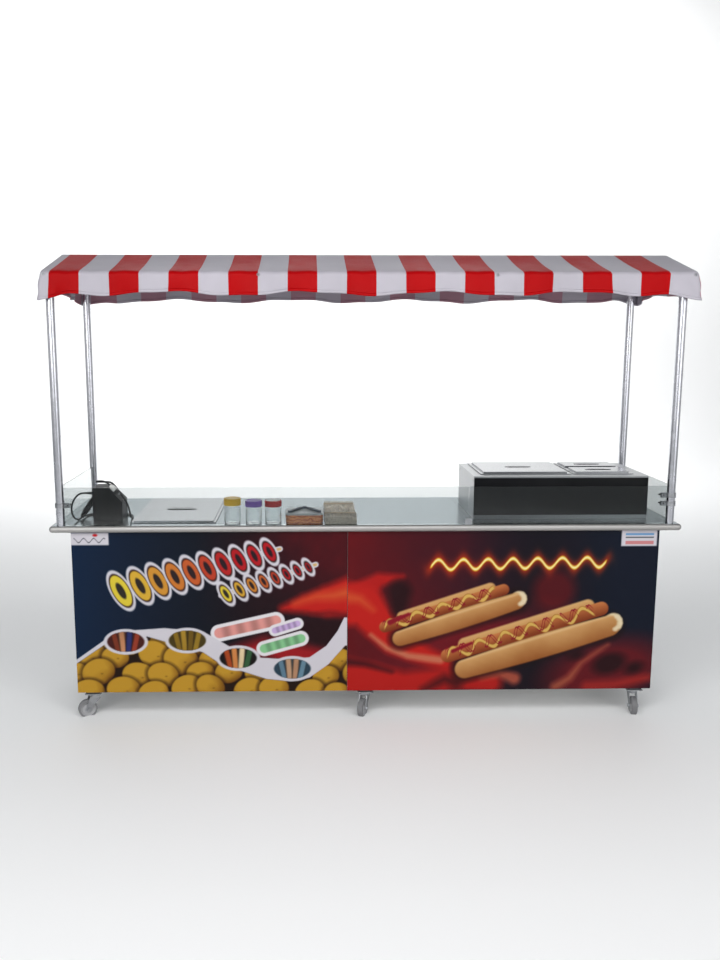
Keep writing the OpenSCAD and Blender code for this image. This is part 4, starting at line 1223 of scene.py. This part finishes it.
def make_bands():
    """Two paper bands round the skewers."""
    low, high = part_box("skewer_pack")
    mid_x, mid_z = (low.x + high.x) / 2, (low.z + high.z) / 2
    half_width = 0.011
    loop = oblong((high.x - low.x) / 2, (high.z - low.z) / 2, 0.18, 64)
    bm = bmesh.new()
    for y in (low.y + 0.075, high.y - 0.085):
        edges = (y - half_width, y + half_width)
        add_loft(bm, [[bm.verts.new((mid_x + x, edge, mid_z + z)) for x, z in loop] for edge in edges])
    paper = moulded_plastic("paper_band", rgb(190, 172, 142), 0.7, 300.0)
    band = make_piece("skewer_bands", bm, "pack_body", paper, True)
    band.modifiers.new("paper", "SOLIDIFY").thickness = 0.0004
    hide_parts("skewer_pack")


# ---- small details

def make_top_details():
    """Joint line between the worktop's two sheets."""
    low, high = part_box("worktop")
    joint_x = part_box("bain_housing")[0].x - 0.0175
    half = 0.0008
    end = 0.020
    bm = bmesh.new()
    add_box(bm, (joint_x - half, low.y + end, high.z), (joint_x + half, high.y - end, high.z + 0.0003))
    dark = moulded_plastic("joint_sealant", rgb(58, 60, 62), 0.6)
    make_piece("worktop_joint", bm, "cart", dark)


def make_machine_details():
    """Trim strip and screws of the bain-marie, and the dial marks of both thermostats."""
    low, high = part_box("bain_front")
    bm = bmesh.new()
    add_box(bm, (low.x, low.y - 0.0012, high.z - 0.006), (high.x, low.y + 0.0005, high.z + 0.0012))
    bevelled(make_piece("bain_trim", bm, "cart", STAINLESS), 0.0005)
    low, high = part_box("bain_housing")
    screw_r = 0.0038
    edge = 0.02
    back = high.y - 0.012
    bm = bmesh.new()
    for x, side in ((low.x, -1), (high.x, 1)):
        for y in (low.y + edge, high.y - 0.045):
            for z in (low.z + edge, high.z - edge):
                add_screw(bm, (x, y, z), (side, 0, 0), screw_r)
    for x in (low.x + edge, high.x - edge):
        add_screw(bm, (x, back, low.z + edge), (0, 1, 0), screw_r)
    make_piece("bain_screws", bm, "cart", ZINC)
    bm = bmesh.new()
    for machine, wall, radius in (("bain", back, 0.026), ("fryer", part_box("fryer_head")[1].y, 0.024)):
        centre = Vector(joints[machine + "_thermostat"]["pos_m"])
        for k in range(10):
            turn = Matrix.Rotation(math.radians(-45 + 270 * k / 9), 4, "Y")
            place = Matrix.Translation((centre.x, wall, centre.z)) @ turn
            add_box(bm, (radius, -0.0001, -0.0006), (radius + 0.004 + 0.0002 * k, 0.0004, 0.0006), 0, place)
    white = coated_metal("dial_white", rgb(225, 225, 222), 0.5)
    make_piece("dial_marks", bm, "cart", white)


def make_cabinet_details():
    """Rivets along the side panels."""
    head = [(0.0042, 0.0), (0.0040, 0.0008), (0.0022, 0.0017), (0.0, 0.0019)]
    inset = 0.018
    bm = bmesh.new()
    for node, side in (("side_panel_left", -1), ("side_panel_right", 1)):
        low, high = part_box(node)
        x = low.x if side < 0 else high.x
        for y in (low.y + inset, (low.y + high.y) / 2, high.y - inset):
            for k in range(5):
                z = low.z + 0.02 + (high.z - low.z - 0.04) * k / 4
                add_lathe(bm, head, Matrix.Translation((x, y, z)) @ facing((side, 0, 0)), 14)
    make_piece("panel_rivets", bm, "cart", ZINC, True)


for number in range(1, 7):
    make_wheel(number)
make_caster_bolts()
for number in (1, 2, 3):
    make_jar(number)
make_tray()
make_skewers()
make_bands()
make_top_details()
make_machine_details()
make_cabinet_details()

NUMBERED = {"caster_fork": 6, "wing_knob": 3, "bain_pan": 3, "bain_lid": 3}
FINISHES = (
    (FRAME_COAT, "base_frame uprights top_frame post_spigots"),
    (WHITE_COAT, "floor_panel shelf door_left door_right print_panel_left print_panel_right"),
    (STAINLESS_DEEP, "side_panel_left side_panel_right"),
    (WORKTOP, "worktop"),
    (POST_STEEL, "posts canopy_frame"),
    (GUARD_GLASS, "glass_front glass_sides"),
    (ZINC, "glass_fittings caster_plates caster_fork"),
    (TRACK, "door_tracks bain_heater"),
    (STAINLESS, "bain_housing bain_well bain_pan fryer_tank"),
    (LID_STEEL, "bain_lid fryer_lid"),
    (BLACK_COAT, "bain_front"),
    (HEAD_COAT, "fryer_head"),
    (BLACK_PLASTIC, "bain_knob fryer_knob wing_knob"),
)


def coat_nodes():
    """Gives the CAD nodes that stay in view their materials."""
    for material, names in FINISHES:
        for name in names.split():
            count = NUMBERED.get(name)
            for node in [f"{name}_{index + 1}" for index in range(count)] if count else [name]:
                coat_node(nodes[node], material)


coat_nodes()


# ---- stage and lights

def make_stage():
    """Pale floor that curves up into a backdrop."""
    half_width = 16
    profile = [(-16.0, 0.0), (6.0, 0.0), (6.9, 0.10), (7.6, 0.40), (8.0, 1.0), (8.1, 2.0), (8.1, 7.5)]
    bm = bmesh.new()
    rows = [[bm.verts.new((x, y, z)) for x in (-half_width, half_width)] for y, z in profile]
    for a, b in zip(rows, rows[1:]):
        bm.faces.new([a[0], a[1], b[1], b[0]]).smooth = True
    mesh = bpy.data.meshes.new("floor")
    bm.to_mesh(mesh)
    bm.free()
    mesh.materials.append(Surface("studio_paper", Base_Color=(0.90, 0.90, 0.90, 1), Roughness=0.75).material)
    floor = make_object("floor", mesh)
    smooth = floor.modifiers.new("round", "SUBSURF")
    smooth.levels = smooth.render_levels = 2


def add_light(name, place, target, size, power):
    """A soft box that shines at a point and isn't seen itself."""
    data = bpy.data.lights.new(name, "AREA")
    data.shape = "RECTANGLE"
    data.size, data.size_y = size
    data.energy = power
    light = make_object(name, data)
    light.visible_camera = False
    light.location = place
    light.rotation_euler = (Vector(target) - Vector(place)).to_track_quat("-Z", "Y").to_euler()


def make_lights():
    """A studio lit from the front and sides, darker overhead, with true print colours."""
    world = bpy.data.worlds.new("studio")
    world.use_nodes = True
    tree = world.node_tree
    direction = tree.nodes.new("ShaderNodeTexCoord")
    axes = tree.nodes.new("ShaderNodeSeparateXYZ")
    ramp = tree.nodes.new("ShaderNodeValToRGB")
    background = tree.nodes["Background"].inputs
    for stop, position, colour in zip(ramp.color_ramp.elements, (0.05, 0.75),
                                      ((1.0, 1.0, 1.0, 1), (0.20, 0.23, 0.25, 1))):
        stop.position = position
        stop.color = colour
    tree.links.new(direction.outputs["Generated"], axes.inputs[0])
    tree.links.new(axes.outputs["Z"], ramp.inputs[0])
    tree.links.new(ramp.outputs["Color"], background["Color"])
    background["Strength"].default_value = 0.62
    scene.world = world
    scene.view_settings.view_transform = "Standard"
    add_light("key", (-2.4, -4.4, 2.4), (0, 0, 0.9), (2.6, 2.0), 66)
    add_light("fill", (3.2, -3.8, 1.8), (0, 0, 0.8), (2.4, 2.4), 38)
    add_light("wall", (0, 4.9, 5.4), (0, 8.1, 1.4), (9.0, 0.8), 420)
    add_light("floor_wash", (0, -2.6, 3.0), (0, -1.4, 0), (4.4, 1.2), 74)


make_stage()
make_lights()
